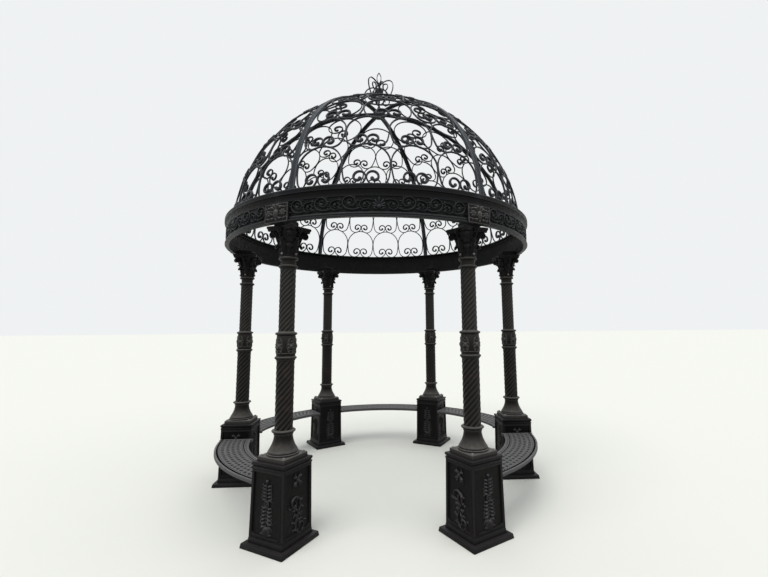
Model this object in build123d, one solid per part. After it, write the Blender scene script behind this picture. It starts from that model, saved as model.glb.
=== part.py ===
from build123d import *
import os
from math import asin, atan, ceil, cos, degrees, radians, sin, sqrt

os.makedirs("parts", exist_ok=True)

# Driving dimensions, millimetres. Origin at the centre of the column circle, on the ground; +Z is up and the
# open entrance bay faces -Y. Heights are stacked: each piece stands on the one below it. Angles are in degrees.

column_names = {
    "right": 0,
    "back_right": 60,
    "back_left": 120,
    "left": 180,
    "front_left": 240,
    "front_right": 300,
}
bay_names = {
    "right_back": 30,
    "back": 90,
    "left_back": 150,
    "left_front": 210,
    "front": 270,
    "right_front": 330,
}
seat_bays = ["right_back", "back", "left_back", "left_front", "right_front"]
column_circle = 1500.0
bay_half_angle = 30.0
fit_gap = 0.3

# pedestal
plate_half = 208.0
plate_height = 35.0
plate_bevel = 9.0
step_half = 168.0
step_height = 35.0
step_bevel = 6.0
box_foot_half = 162.0
box_top_half = 156.0
box_height = 492.0
cornice_half = 163.0
cornice_height = 43.0
cornice_lip = 22.0
panel_side_margin = 26.0
panel_end_margin = 30.0
panel_recess = 7.0
panel_corner = 34.0

# column, from its square foot plate upwards
foot_half = 135.0
foot_height = 35.0
foot_bevel = 8.0
bolt_radius = 13.0
bolt_height = 9.0
bolt_inset = 22.0
bell_radius = 118.0
bell_ring_height = 26.0
bell_neck_radius = 72.0
bell_height = 114.0
bell_flare = 1.8
bell_steps = 8
neck_ring_radius = 88.0
neck_ring_height = 42.0
lower_shaft_radius = 70.0
lower_shaft_height = 530.0
collar_radius = 82.0
collar_height = 32.0
band_radius = 75.0
band_height = 162.0
upper_shaft_radius = 63.0
upper_shaft_height = 510.0
top_collar_radius = 73.0
neck_band_radius = 63.0
neck_band_height = 40.0
bead_bulge = 5.0

# capital
leaf_base_radius = 70.0
leaf_lip = 3.0
leaf_lip_up = 12.0
leaf_waist_radius = 76.0
leaf_waist_up = 65.0
leaf_top_radius = 112.0
leaf_height = 206.0
leaf_flare = 1.5
leaf_steps = 5
abacus_half = 128.0
abacus_height = 40.0
abacus_hollow = 16.0
abacus_hollow_share = 0.75
volute_out = 134.0
volute_drop = 24.0
volute_radius = 28.0
volute_width = 40.0
volute_curl_width = 50.0
volute_root_up = 60.0
volute_arm_inset = 10.0
volute_arm_drop = 30.0
volute_bite = 6.0
block_half = 52.0
block_height = 5.0
block_setback = 49.0
bearing_plate_half = 50.0
bearing_plate_inset = 52.0
bearing_plate_height = 4.0
beam_stop_height = 45.0

# ring beam
beam_shelf_offset = 56.0
beam_shelf_height = 14.0
beam_offset = 112.0
beam_wall = 24.0
flange_proud = 20.0
flange_height = 14.0
moulding_proud = 12.0
moulding_height = 26.0
frieze_height = 125.0
cove_height = 52.0
cove_middle_out = 7.0
cove_middle_down = 15.0
lip_proud = 30.0
lip_height = 43.0
plaque_proud = 23.0
plaque_half = 125.0
plaque_top_gap = 6.0

# seats
seat_inner = 1350.0
seat_outer = 1660.0
seat_top = 463.0
seat_thickness = 24.0
seat_band = 42.0
seat_slots = 20
seat_slat = 27.0
slat_stagger = 0.25
apron_height = 14.0
apron_thickness = 12.0

# rows of slots in a seat, as many as fit between its two bands: how far their middle lies out from the seat's
# inner edge, width
slot_rows = [
    (97.0, 24.0),
    (142.0, 24.0),
    (187.0, 24.0),
    (233.0, 24.0),
    (262.0, 9.0),
]

# dome
dome_inset = 54.0
dome_sink = 117.0
rib_depth = 30.0
rib_width = 58.0
dome_turn = 3.5
bar_inset = 9.0
bar_depth = 16.0
bar_width = 9.0
arch_step = 30.0
lobe_step = 40.0
coil_step = 66.0

# tiers of scroll cells in a panel: cells side by side, latitude of their middle, sweep of a cell's side
panel_tiers = [
    (4, 11.4, 12.7),
    (4, 24.6, 12.4),
    (3, 36.7, 17.2),
    (3, 49.4, 14.6),
    (2, 60.8, 13.4),
    (1, 71.8, 24.0),
]
side_squeeze = 0.075
lobe_clear = 0.008
lobe_rise = 76.0
coil_ratio = 0.53
coil_sweep = 195.0
side_bite = 1.0
bar_bite = 0.08
hub_radius = 80.0
hub_below = 8.0
boss_radius = 46.0
boss_height = 22.0

# finial: tall and low loops of flat bar by turns round a stem, with a narrow loop on top
stem_radius = 10.0
stem_collar_radius = 30.0
stem_collar_height = 20.0
finial_height = 520.0
finial_turn = -15.0
loops_of_a_kind = 3
loop_bar = 7.0
loop_width = 14.0
tall_loop_half_width = 86.0
tall_loop_half_height = 130.0
tall_loop_up = 285.0
low_loop_half_width = 88.0
low_loop_half_height = 106.0
low_loop_up = 240.0
small_loop_half_width = 34.0
small_loop_half_height = 52.0
small_loop_up = 215.0
top_loop_half_width = 22.0
top_loop_half_height = 86.0
loop_root = 6.0

# Levels, from the stacked heights
step_top = plate_height + step_height
box_top = step_top + box_height
cornice_top = box_top + cornice_height
foot_top = cornice_top + foot_height
bell_ring_top = foot_top + bell_ring_height
bell_top = bell_ring_top + bell_height
neck_ring_top = bell_top + neck_ring_height
lower_shaft_top = neck_ring_top + lower_shaft_height
lower_collar_top = lower_shaft_top + collar_height
band_top = lower_collar_top + band_height
upper_collar_top = band_top + collar_height
upper_shaft_top = upper_collar_top + upper_shaft_height
top_collar_top = upper_shaft_top + collar_height
neck_band_top = top_collar_top + neck_band_height
column_top = neck_band_top + collar_height
abacus_bottom = column_top + leaf_height
abacus_top = abacus_bottom + abacus_height
ring_bottom = abacus_top + block_height + bearing_plate_height
ring_moulding_top = ring_bottom + flange_height + moulding_height
ring_frieze_top = ring_moulding_top + frieze_height
ring_top = ring_frieze_top + cove_height + lip_height
dome_centre = ring_top - dome_sink

# Radii that lie on one another
ring_shelf = column_circle + beam_shelf_offset
ring_inner = column_circle + beam_offset
ring_frieze = ring_inner + beam_wall
ring_moulding = ring_frieze + moulding_proud
ring_flange = ring_frieze + flange_proud
ring_lip = ring_frieze + lip_proud
plaque_face = ring_frieze + plaque_proud
rib_outer = ring_lip - dome_inset
bar_outer = rib_outer - bar_inset
crown = dome_centre + sqrt(rib_outer ** 2 - hub_radius ** 2)

upright = (Align.CENTER, Align.CENTER, Align.MIN)


def save(shape, name):
    export_step(shape, f"parts/{name}.step")


def turned(shape, angle):
    return Rot(0, 0, angle) * shape


def at_column(shape, angle):
    return Rot(0, 0, angle) * Pos(column_circle, 0, 0) * shape


# Pedestal, built on the origin with one face towards +X
def box_half_at(height):
    return box_foot_half + (box_top_half - box_foot_half) * (height - step_top) / (box_top - step_top)


def recess(side_angle):
    height = box_top - step_top
    lean = atan((box_foot_half - box_top_half) / height)
    face = Plane(origin=(0, -box_foot_half, step_top), x_dir=(1, 0, 0), z_dir=(0, -cos(lean), sin(lean)))
    half = box_top_half - panel_side_margin
    low = panel_end_margin
    high = height - panel_end_margin
    outline = [
        (-half, high),
        (-half, low + panel_corner),
        (-half + panel_corner, low),
        (half - panel_corner, low),
        (half, low + panel_corner),
        (half, high),
    ]
    sketch = face * make_face(Polyline(*outline, close=True))
    return Rot(0, 0, side_angle) * extrude(sketch, amount=-panel_recess)


def bevelled_block(half, bottom, top, bevel):
    block = Pos(0, 0, bottom) * Box(2 * half, 2 * half, top - bottom, align=upright)
    return chamfer(block.faces().sort_by(Axis.Z)[-1].edges(), bevel)


def pedestal():
    plate = bevelled_block(plate_half, 0, plate_height, plate_bevel)
    step = bevelled_block(step_half, plate_height, step_top, step_bevel)
    height = box_top - step_top
    lean = degrees(atan((box_foot_half - box_top_half) / height))
    foot = Pos(0, 0, step_top) * Rectangle(2 * box_foot_half, 2 * box_foot_half)
    box = extrude(foot, amount=height, taper=lean)
    for side in range(4):
        box -= recess(90 * side)
    under = Pos(0, 0, box_top) * Rectangle(2 * box_top_half, 2 * box_top_half)
    over = Pos(0, 0, cornice_top - cornice_lip) * Rectangle(2 * cornice_half, 2 * cornice_half)
    cove = loft([under, over])
    lip = bevelled_block(cornice_half, cornice_top - cornice_lip, cornice_top, step_bevel)
    return plate + step + box + cove + lip


# Column, built on the origin
def ring_profile(radius, bottom, top, base):
    middle = (bottom + top) / 2
    low = bottom + bead_bulge
    return [(base, bottom), (radius, low), (radius + bead_bulge, middle), (radius, top - bead_bulge)]


def column():
    foot = bevelled_block(foot_half, cornice_top, foot_top, foot_bevel)
    for x in (-1, 1):
        for y in (-1, 1):
            place = Pos(x * (foot_half - bolt_inset), y * (foot_half - bolt_inset), foot_top)
            foot += place * Cylinder(bolt_radius, bolt_height, align=upright)
    points = [(0, foot_top)]
    points += ring_profile(bell_radius, foot_top, bell_ring_top, bell_radius)
    for i in range(bell_steps + 1):
        t = i / bell_steps
        radius = bell_neck_radius + (bell_radius - bell_neck_radius) * (1 - t) ** bell_flare
        points.append((radius, bell_ring_top + bell_height * t))
    neck_radius = neck_ring_radius - bead_bulge
    points += ring_profile(neck_radius, bell_top + bead_bulge, neck_ring_top, bell_neck_radius)
    points += [(lower_shaft_radius, neck_ring_top), (lower_shaft_radius, lower_shaft_top)]
    ring_radius = collar_radius - bead_bulge
    points += ring_profile(ring_radius, lower_shaft_top, lower_collar_top, band_radius)[1:]
    points += [(band_radius, lower_collar_top), (band_radius, band_top)]
    points += ring_profile(ring_radius, band_top, upper_collar_top, band_radius)[1:]
    points += [(upper_shaft_radius, upper_collar_top), (upper_shaft_radius, upper_shaft_top)]
    ring_radius = top_collar_radius - bead_bulge
    points += ring_profile(ring_radius, upper_shaft_top, top_collar_top, neck_band_radius)[1:]
    points += [(neck_band_radius, top_collar_top), (neck_band_radius, neck_band_top)]
    points += ring_profile(ring_radius, neck_band_top, column_top, neck_band_radius)[1:]
    points += [(leaf_base_radius, column_top), (0, column_top)]
    shaft = revolve(Plane.XZ * make_face(Polyline(*points, close=True)), Axis.Z)
    return foot + shaft


# Capital, built on the origin with +X away from the structure's centre
def volute(angle):
    up = abacus_bottom - volute_drop
    root = column_top + volute_root_up
    outline = [
        (0, root),
        (leaf_waist_radius, root),
        (leaf_top_radius - volute_arm_inset, up - volute_arm_drop),
        (volute_out - volute_radius, up),
        (volute_out, up + volute_radius),
        (volute_out, abacus_bottom + volute_bite),
        (0, abacus_bottom + volute_bite),
    ]
    arm = extrude(Plane.XZ * make_face(Polyline(*outline, close=True)), amount=volute_width / 2, both=True)
    curl = Pos(volute_out, 0, up) * Rot(90, 0, 0) * Cylinder(volute_radius, volute_curl_width)
    return Rot(0, 0, angle) * (arm + curl)


def abacus():
    block = Pos(0, 0, abacus_bottom) * Box(2 * abacus_half, 2 * abacus_half, abacus_height, align=upright)
    chord = 2 * abacus_half * abacus_hollow_share
    hollow_radius = (chord ** 2 / 4 + abacus_hollow ** 2) / (2 * abacus_hollow)
    for side in range(4):
        cutter = Pos(abacus_half - abacus_hollow + hollow_radius, 0, (abacus_bottom + abacus_top) / 2)
        block -= Rot(0, 0, 90 * side) * cutter * Cylinder(hollow_radius, 2 * abacus_height)
    return block


def plate_on_arc(outline, half_width):
    spread = degrees(2 * half_width / plaque_face)
    face = Plane.XZ * make_face(Polyline(*outline, close=True))
    return Pos(-column_circle, 0, 0) * Rot(0, 0, -spread / 2) * revolve(face, Axis.Z, revolution_arc=spread)


def bearing_plate():
    bottom = ring_bottom - bearing_plate_height
    back = column_circle - bearing_plate_inset
    outline = [(back, bottom), (plaque_face, bottom), (plaque_face, ring_bottom), (back, ring_bottom)]
    return plate_on_arc(outline, bearing_plate_half)


def plaque():
    flange_top = ring_bottom + flange_height + fit_gap
    plaque_top = ring_frieze_top - plaque_top_gap
    inner = ring_frieze + fit_gap
    flange = ring_flange + fit_gap
    moulding = ring_moulding + fit_gap
    outline = [
        (flange, ring_bottom),
        (plaque_face, ring_bottom),
        (plaque_face, plaque_top),
        (inner, plaque_top),
        (inner, ring_moulding_top + fit_gap),
        (moulding, ring_moulding_top + fit_gap),
        (moulding, flange_top),
        (flange, flange_top),
    ]
    return plate_on_arc(outline, plaque_half)


def beam_stop():
    depth = sqrt(ring_inner ** 2 - block_half ** 2) - column_circle - fit_gap + block_half
    height = ring_bottom + beam_stop_height - abacus_top
    ahead = (Align.MIN, Align.CENTER, Align.MIN)
    return Pos(-block_half, 0, abacus_top) * Box(depth, 2 * block_half, height, align=ahead)


def capital():
    lip = (leaf_base_radius + leaf_lip, column_top + leaf_lip_up)
    points = [(0, column_top), (leaf_base_radius, column_top), lip]
    flare_height = leaf_height - leaf_waist_up
    for i in range(leaf_steps + 1):
        t = i / leaf_steps
        radius = leaf_waist_radius + (leaf_top_radius - leaf_waist_radius) * t ** leaf_flare
        points.append((radius, column_top + leaf_waist_up + flare_height * t))
    points.append((0, abacus_bottom))
    body = revolve(Plane.XZ * make_face(Polyline(*points, close=True)), Axis.Z)
    body += abacus()
    for corner in range(4):
        body += volute(45 + 90 * corner)
    block_top = ring_bottom - bearing_plate_height
    block_length = block_half + plaque_face - column_circle - block_setback
    ahead = (Align.MIN, Align.CENTER, Align.MIN)
    block = Box(block_length, 2 * block_half, block_top - abacus_top, align=ahead)
    body += Pos(-block_half, 0, abacus_top) * block
    return body + beam_stop() + bearing_plate() + plaque()


# Ring beam segment over one bay, centred on +X
def ring_beam():
    outline = Polyline(
        (ring_shelf, ring_top),
        (ring_shelf, ring_top - beam_shelf_height),
        (ring_inner, ring_top - beam_shelf_height),
        (ring_inner, ring_bottom),
        (ring_flange, ring_bottom),
        (ring_flange, ring_bottom + flange_height),
        (ring_moulding, ring_bottom + flange_height),
        (ring_moulding, ring_moulding_top),
        (ring_frieze, ring_moulding_top),
        (ring_frieze, ring_frieze_top),
    )
    cove_top = ring_top - lip_height
    cove = ThreePointArc(
        (ring_frieze, ring_frieze_top),
        (ring_frieze + cove_middle_out, cove_top - cove_middle_down),
        (ring_lip, cove_top),
    )
    lip = Polyline((ring_lip, cove_top), (ring_lip, ring_top), (ring_shelf, ring_top))
    face = Plane.XZ * make_face([outline, cove, lip])
    return Rot(0, 0, -bay_half_angle) * revolve(face, Axis.Z, revolution_arc=2 * bay_half_angle)


# Seat of one bay, centred on +X
def bay_wedge(offset, reach):
    apex = offset / sin(radians(bay_half_angle))
    far_x = apex + reach * cos(radians(bay_half_angle))
    far_y = reach * sin(radians(bay_half_angle))
    return make_face(Polyline((apex, 0), (far_x, -far_y), (far_x, far_y), close=True))


def seat_face(inner, outer, bottom):
    clear = box_half_at(bottom) + fit_gap
    return (Circle(outer) - Circle(inner)) & bay_wedge(clear, 2 * seat_outer)


def apron(inner, bottom):
    face = seat_face(inner, inner + apron_thickness, bottom)
    return extrude(Pos(0, 0, bottom) * face, amount=apron_height)


def seat_cells():
    clear = box_foot_half + seat_slat
    cells = []
    for row, (out, width) in enumerate(slot_rows):
        r0 = seat_inner + out - width / 2
        r1 = r0 + width
        if r1 > seat_outer - seat_band:
            break
        reach = radians(bay_half_angle) - asin(clear / r0)
        step = 2 * reach / seat_slots
        shift = slat_stagger * step if row % 2 else -slat_stagger * step
        for k in range(seat_slots):
            a0 = -reach + k * step + shift
            a1 = a0 + step - seat_slat / r1
            if a0 < -reach or a1 > reach:
                continue
            corners = [(r0, a0), (r1, a0), (r1, a1), (r0, a1)]
            outline = [Vector(r * cos(a), r * sin(a), 0) for r, a in corners]
            cells.append(Wire.make_polygon(outline, close=True))
    return cells


def bench_seat():
    bottom = seat_top - seat_thickness
    outline = seat_face(seat_inner, seat_outer, bottom).faces()[0].outer_wire()
    seat = extrude(Pos(0, 0, bottom) * Face(outline, seat_cells()), amount=seat_thickness)
    seat += apron(seat_inner + seat_band - apron_thickness, bottom - apron_height)
    seat += apron(seat_outer - seat_band, bottom - apron_height)
    return seat


# Dome rib, in the plane y = 0 towards +X
def dome_rib():
    arch = Circle(rib_outer) - Circle(rib_outer - rib_depth)
    rib = extrude(Plane.XZ * arch, amount=rib_width / 2, both=True)
    rib = Pos(0, 0, dome_centre) * rib
    keep = Pos(hub_radius / 2, 0, ring_top) * Box(
        2 * rib_outer, 2 * rib_width, 2 * rib_outer, align=(Align.MIN, Align.CENTER, Align.MIN)
    )
    return (rib & keep) - Pos(0, 0, dome_centre) * Cylinder(hub_radius, 4 * rib_outer)


# Scrollwork of one dome panel. It is made of cells in tiers; a cell has two mirrored scrolls of flat bar, each
# an arch that runs down the cell's side into a lobe and coils up. Every arc lies on the dome's sphere.
def direction(azimuth, latitude):
    a, b = radians(azimuth), radians(latitude)
    return Vector(cos(b) * cos(a), cos(b) * sin(a), sin(b))


def bar_section(axis, toward, size):
    half = bar_width / 2 / bar_outer
    inner = bar_outer - bar_depth
    low, high = size - half, size + half
    corners = ((bar_outer, low), (bar_outer, high), (inner, high), (inner, low))
    return [Vector(0, 0, dome_centre) + (axis * cos(a) + toward * sin(a)) * reach for reach, a in corners]


# Bar along a chain of arcs, from the top of a first circle given by its centre and angular radius. Each arc is
# given by the ratio of its radius to the one before, its sweep and the longest facet's angle.
def scroll(azimuth, latitude, radius, sense, arcs):
    axis = direction(azimuth, latitude)
    toward = direction(azimuth, latitude + 90)
    size = radians(radius)
    stations = [bar_section(axis, toward, size)]
    for ratio, sweep, step in arcs:
        point = axis * cos(size) + toward * sin(size)
        inward = axis * sin(size) - toward * cos(size)
        size = size * ratio
        axis = point * cos(size) + inward * sin(size)
        toward = point * sin(size) - inward * cos(size)
        aside = axis.cross(toward) * sense
        count = ceil(sweep / step)
        for i in range(1, count + 1):
            turn = radians(sweep * i / count)
            stations.append(bar_section(axis, toward * cos(turn) + aside * sin(turn), size))
        toward = toward * cos(radians(sweep)) + aside * sin(radians(sweep))
    faces = [Face(Wire.make_polygon(end, close=True)) for end in (stations[0], stations[-1])]
    for a, b in zip(stations, stations[1:]):
        for k in range(4):
            faces.append(Face(Wire.make_polygon([a[k - 1], a[k], b[k], b[k - 1]], close=True)))
    return Solid(Shell(faces))


def half_cell(azimuth, latitude, radius, side_sweep, sense):
    side = side_squeeze / (1 - cos(radians(side_sweep)))
    lobe = (1 - side_squeeze - lobe_clear) / (1 + cos(radians(side_sweep)))
    arcs = (
        (1, 90, arch_step),
        (side, side_sweep, arch_step),
        (lobe / side, 90 - side_sweep, lobe_step),
        (1, lobe_rise, lobe_step),
        (coil_ratio, coil_sweep, coil_step),
    )
    return scroll(azimuth, latitude, radius, sense, arcs)


def half_pattern():
    bars = []
    rib_clear = degrees(asin((rib_width / 2 - side_bite) / bar_outer))
    for cells, latitude, side_sweep in panel_tiers:
        narrow = cos(radians(latitude))
        pitch = (2 * bay_half_angle - 2 * rib_clear / narrow) / cells
        radius = degrees(asin(narrow * sin(radians(pitch / 2)))) - bar_bite
        for k in range(cells // 2, cells):
            azimuth = (k - (cells - 1) / 2) * pitch
            bars.append(half_cell(azimuth, latitude, radius, side_sweep, 1))
            if azimuth > 0:
                bars.append(half_cell(azimuth, latitude, radius, side_sweep, -1))
    return bars


def dome_panel():
    bars = half_pattern()
    bars += [mirror(bar, Plane.XZ) for bar in bars]
    wedge = Pos(0, 0, ring_top) * extrude(bay_wedge(rib_width / 2, 2 * rib_outer), amount=2 * rib_outer)
    panel = (Part() + bars) & wedge
    return panel.solids().sort_by(SortBy.VOLUME)[-1]


# Crown hub and finial
def standing(shape, height):
    return Pos(0, 0, height) * shape


def crown_hub():
    hub = Cylinder(hub_radius, rib_depth + 2 * hub_below, align=upright)
    boss = Cylinder(boss_radius, boss_height, align=upright)
    return standing(hub, crown - rib_depth - hub_below) + standing(boss, crown + hub_below)


def oval_loop(out, up, half_width, half_height):
    outer = Ellipse(half_width + loop_bar / 2, half_height + loop_bar / 2)
    inner = Ellipse(half_width - loop_bar / 2, half_height - loop_bar / 2)
    band = extrude(Plane.XZ * (outer - inner), amount=loop_width / 2, both=True)
    return Pos(out, 0, up) * band


def rooted_loop(up, half_width, half_height):
    return oval_loop(half_width + loop_root, up, half_width, half_height)


def stem(top):
    outline = [
        (0, 0),
        (stem_collar_radius, 0),
        (stem_collar_radius, stem_collar_height / 2),
        (stem_radius, stem_collar_height),
        (stem_radius, top),
        (0, top),
    ]
    return revolve(Plane.XZ * make_face(Polyline(*outline, close=True)), Axis.Z)


def finial():
    top_loop_up = finial_height - top_loop_half_height - loop_bar / 2
    shape = stem(top_loop_up - top_loop_half_height)
    shape += oval_loop(0, top_loop_up, top_loop_half_width, top_loop_half_height)
    spread = 360 / loops_of_a_kind
    tall = rooted_loop(tall_loop_up, tall_loop_half_width, tall_loop_half_height)
    low = rooted_loop(low_loop_up, low_loop_half_width, low_loop_half_height)
    small = rooted_loop(small_loop_up, small_loop_half_width, small_loop_half_height)
    for k in range(loops_of_a_kind):
        shape += turned(tall + small, spread * k)
        shape += turned(low, spread * (k + 1 / 2))
    return standing(turned(shape, finial_turn), crown + hub_below + boss_height)


one_pedestal = pedestal()
one_column = column()
one_capital = capital()
one_rib = dome_rib()
for name, angle in column_names.items():
    save(at_column(one_pedestal, angle), f"pedestal_{name}")
    save(at_column(one_column, angle), f"column_{name}")
    save(at_column(one_capital, angle), f"capital_{name}")
    save(turned(one_rib, angle + dome_turn), f"dome_rib_{name}")

one_beam = ring_beam()
one_panel = dome_panel()
for name, angle in bay_names.items():
    save(turned(one_beam, angle), f"ring_beam_{name}")
    save(turned(one_panel, angle + dome_turn), f"dome_panel_{name}")

one_seat = bench_seat()
for name in seat_bays:
    save(turned(one_seat, bay_names[name]), f"bench_seat_{name}")

save(crown_hub(), "crown_hub")
save(finial(), "finial")
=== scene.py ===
from math import asin, cos, pi, radians, sin, sqrt

import bmesh
import bpy
from mathutils import Matrix, Vector


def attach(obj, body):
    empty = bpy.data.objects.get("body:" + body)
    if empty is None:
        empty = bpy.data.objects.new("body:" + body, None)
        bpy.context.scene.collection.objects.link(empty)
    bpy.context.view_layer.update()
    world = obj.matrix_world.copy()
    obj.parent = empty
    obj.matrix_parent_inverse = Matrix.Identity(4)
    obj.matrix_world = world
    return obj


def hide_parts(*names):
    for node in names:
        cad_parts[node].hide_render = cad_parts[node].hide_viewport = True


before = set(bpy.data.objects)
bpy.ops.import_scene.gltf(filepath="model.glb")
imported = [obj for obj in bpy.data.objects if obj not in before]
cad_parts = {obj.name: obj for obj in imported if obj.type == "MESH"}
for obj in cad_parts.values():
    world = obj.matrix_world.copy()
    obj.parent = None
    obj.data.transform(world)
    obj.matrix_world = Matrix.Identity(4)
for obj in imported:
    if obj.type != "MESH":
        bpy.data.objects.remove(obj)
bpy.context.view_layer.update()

# Angles of the columns and bays round the dome's axis, degrees
COLUMNS = {
    "right": 0, "back_right": 60, "back_left": 120,
    "left": 180, "front_left": 240, "front_right": 300,
}
BAYS = {"right_back": 30, "back": 90, "left_back": 150, "left_front": 210, "front": 270, "right_front": 330}
SEAT_BAYS = ("right_back", "back", "left_back", "left_front", "right_front")
BAY_HALF = radians(30)
FULL = 2 * pi
UP = Vector((0, 0, 1))

# Sizes in metres
COLUMN_CIRCLE = 1.5
PLATE_HALF, PLATE_TOP = 0.208, 0.035
STEP_HALF, STEP_TOP = 0.168, 0.070
BOX_FOOT_HALF, BOX_TOP_HALF, BOX_TOP = 0.162, 0.156, 0.562
CORNICE_HALF, CORNICE_TOP, CORNICE_LIP = 0.163, 0.605, 0.022
PANEL_MARGIN, PANEL_CORNER = 0.026, 0.034
FOOT_HALF, FOOT_TOP = 0.135, 0.640
COLUMN_TOP = 2.192
LOWER_SHAFT, LOWER_SHAFT_FOOT, LOWER_SHAFT_TOP = 0.070, 0.822, 1.352
UPPER_SHAFT, UPPER_SHAFT_FOOT, UPPER_SHAFT_TOP = 0.063, 1.578, 2.088
BAND_RADIUS, BAND_FOOT, BAND_TOP = 0.075, 1.384, 1.546
ABACUS_HALF, ABACUS_FOOT, ABACUS_TOP = 0.128, 2.398, 2.438
ABACUS_HOLLOW, ABACUS_HOLLOW_SHARE = 0.016, 0.75
SUPPORT_HALF, SUPPORT_BACK = 0.052, 0.052
RING_FOOT, RING_TOP, RING_SHELF, RING_SHELF_FOOT = 2.447, 2.707, 1.556, 2.693
RING_INNER, RING_FLANGE, RING_MOULDING, RING_FRIEZE, RING_LIP = 1.612, 1.656, 1.648, 1.636, 1.6655
FRIEZE_FOOT, FRIEZE_TOP, COVE_TOP = 2.487, 2.612, 2.664
PLAQUE_FACE, PLAQUE_TOP, PLAQUE_HALF = 1.659, 2.606, 0.125
VOLUTE_OUT, VOLUTE_UP, VOLUTE_RADIUS = 0.134, 2.374, 0.028
SEAT_INNER, SEAT_OUTER, SEAT_TOP, SEAT_UNDER, SEAT_BAND = 1.350, 1.6595, 0.463, 0.439, 0.042
DOME_MIDDLE = Vector((0, 0, 2.590))
RIB_OUTER, RIB_DEPTH, RIB_WIDTH = 1.612, 0.030, 0.058
DOME_TURN = radians(3.5)
BAR_OUTER, BAR_DEPTH, BAR_WIDTH = 1.603, 0.016, 0.0115
HUB_RADIUS = 0.080
CROWN = DOME_MIDDLE.z + sqrt(RIB_OUTER ** 2 - HUB_RADIUS ** 2)
FINIAL_FOOT = CROWN + 0.030
FINIAL_TURN = radians(-15)


# Finishes
def new_node(tree, kind, **values):
    """A node with its settings."""
    node = tree.nodes.new(kind)
    for name, value in values.items():
        setattr(node, name, value)
    return node


def noise(tree, place, scale, detail=4.0, roughness=0.55):
    """Noise from 0 to 1 at a scale."""
    node = new_node(tree, "ShaderNodeTexNoise")
    node.inputs["Scale"].default_value = scale
    node.inputs["Detail"].default_value = detail
    node.inputs["Roughness"].default_value = roughness
    tree.links.new(place, node.inputs["Vector"])
    return node.outputs["Fac"]


def ramp(tree, value, low, high, to_low=0.0, to_high=1.0):
    """A value carried smoothly from one range to another."""
    node = new_node(tree, "ShaderNodeMapRange", interpolation_type="SMOOTHSTEP")
    for name, number in (("From Min", low), ("From Max", high), ("To Min", to_low), ("To Max", to_high)):
        node.inputs[name].default_value = number
    tree.links.new(value, node.inputs["Value"])
    return node.outputs["Result"]


def times(tree, a, b):
    """Product of two values, or of a value and a number."""
    node = new_node(tree, "ShaderNodeMath", operation="MULTIPLY", use_clamp=True)
    tree.links.new(a, node.inputs[0])
    if isinstance(b, float):
        node.inputs[1].default_value = b
    else:
        tree.links.new(b, node.inputs[1])
    return node.outputs["Value"]


def blended(tree, factor, under, over):
    """One colour laid over another by a factor."""
    node = new_node(tree, "ShaderNodeMix", data_type="RGBA")
    tree.links.new(factor, node.inputs["Factor"])
    for socket, colour in (("A", under), ("B", over)):
        target = next(s for s in node.inputs if s.name == socket and s.type == "RGBA")
        if isinstance(colour, tuple):
            target.default_value = (*colour, 1)
        else:
            tree.links.new(colour, target)
    return next(s for s in node.outputs if s.type == "RGBA")


# Sizes of the patches in a finish, in patches to the metre, and the depths of its grain and waves in metres
SHADE_SCALE, PATCH_SCALE, FILM_SCALE, SHEEN_SCALE = 7.0, 9.0, 26.0, 38.0
GRAIN_SCALE, GRAIN_DEPTH = 420.0, 0.0012
WAVE_SCALE, WAVE_DEPTH = 55.0, 0.003
BLEACHED_FROM, BLEACHED_FULL = 1.50, 1.62
# Paler lift on rubbed edges: bare metal wear and a painted highlight
BARE_METAL_AND_HIGHLIGHT = 0.034
GLOSS = 0.11


def darker(colour, share):
    """A share of a colour."""
    return tuple(share * c for c in colour)


def bump(tree, height, strength, depth):
    """Bumps from a height."""
    node = new_node(tree, "ShaderNodeBump")
    node.inputs["Strength"].default_value = strength
    node.inputs["Distance"].default_value = depth
    tree.links.new(height, node.inputs["Height"])
    return node


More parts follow.
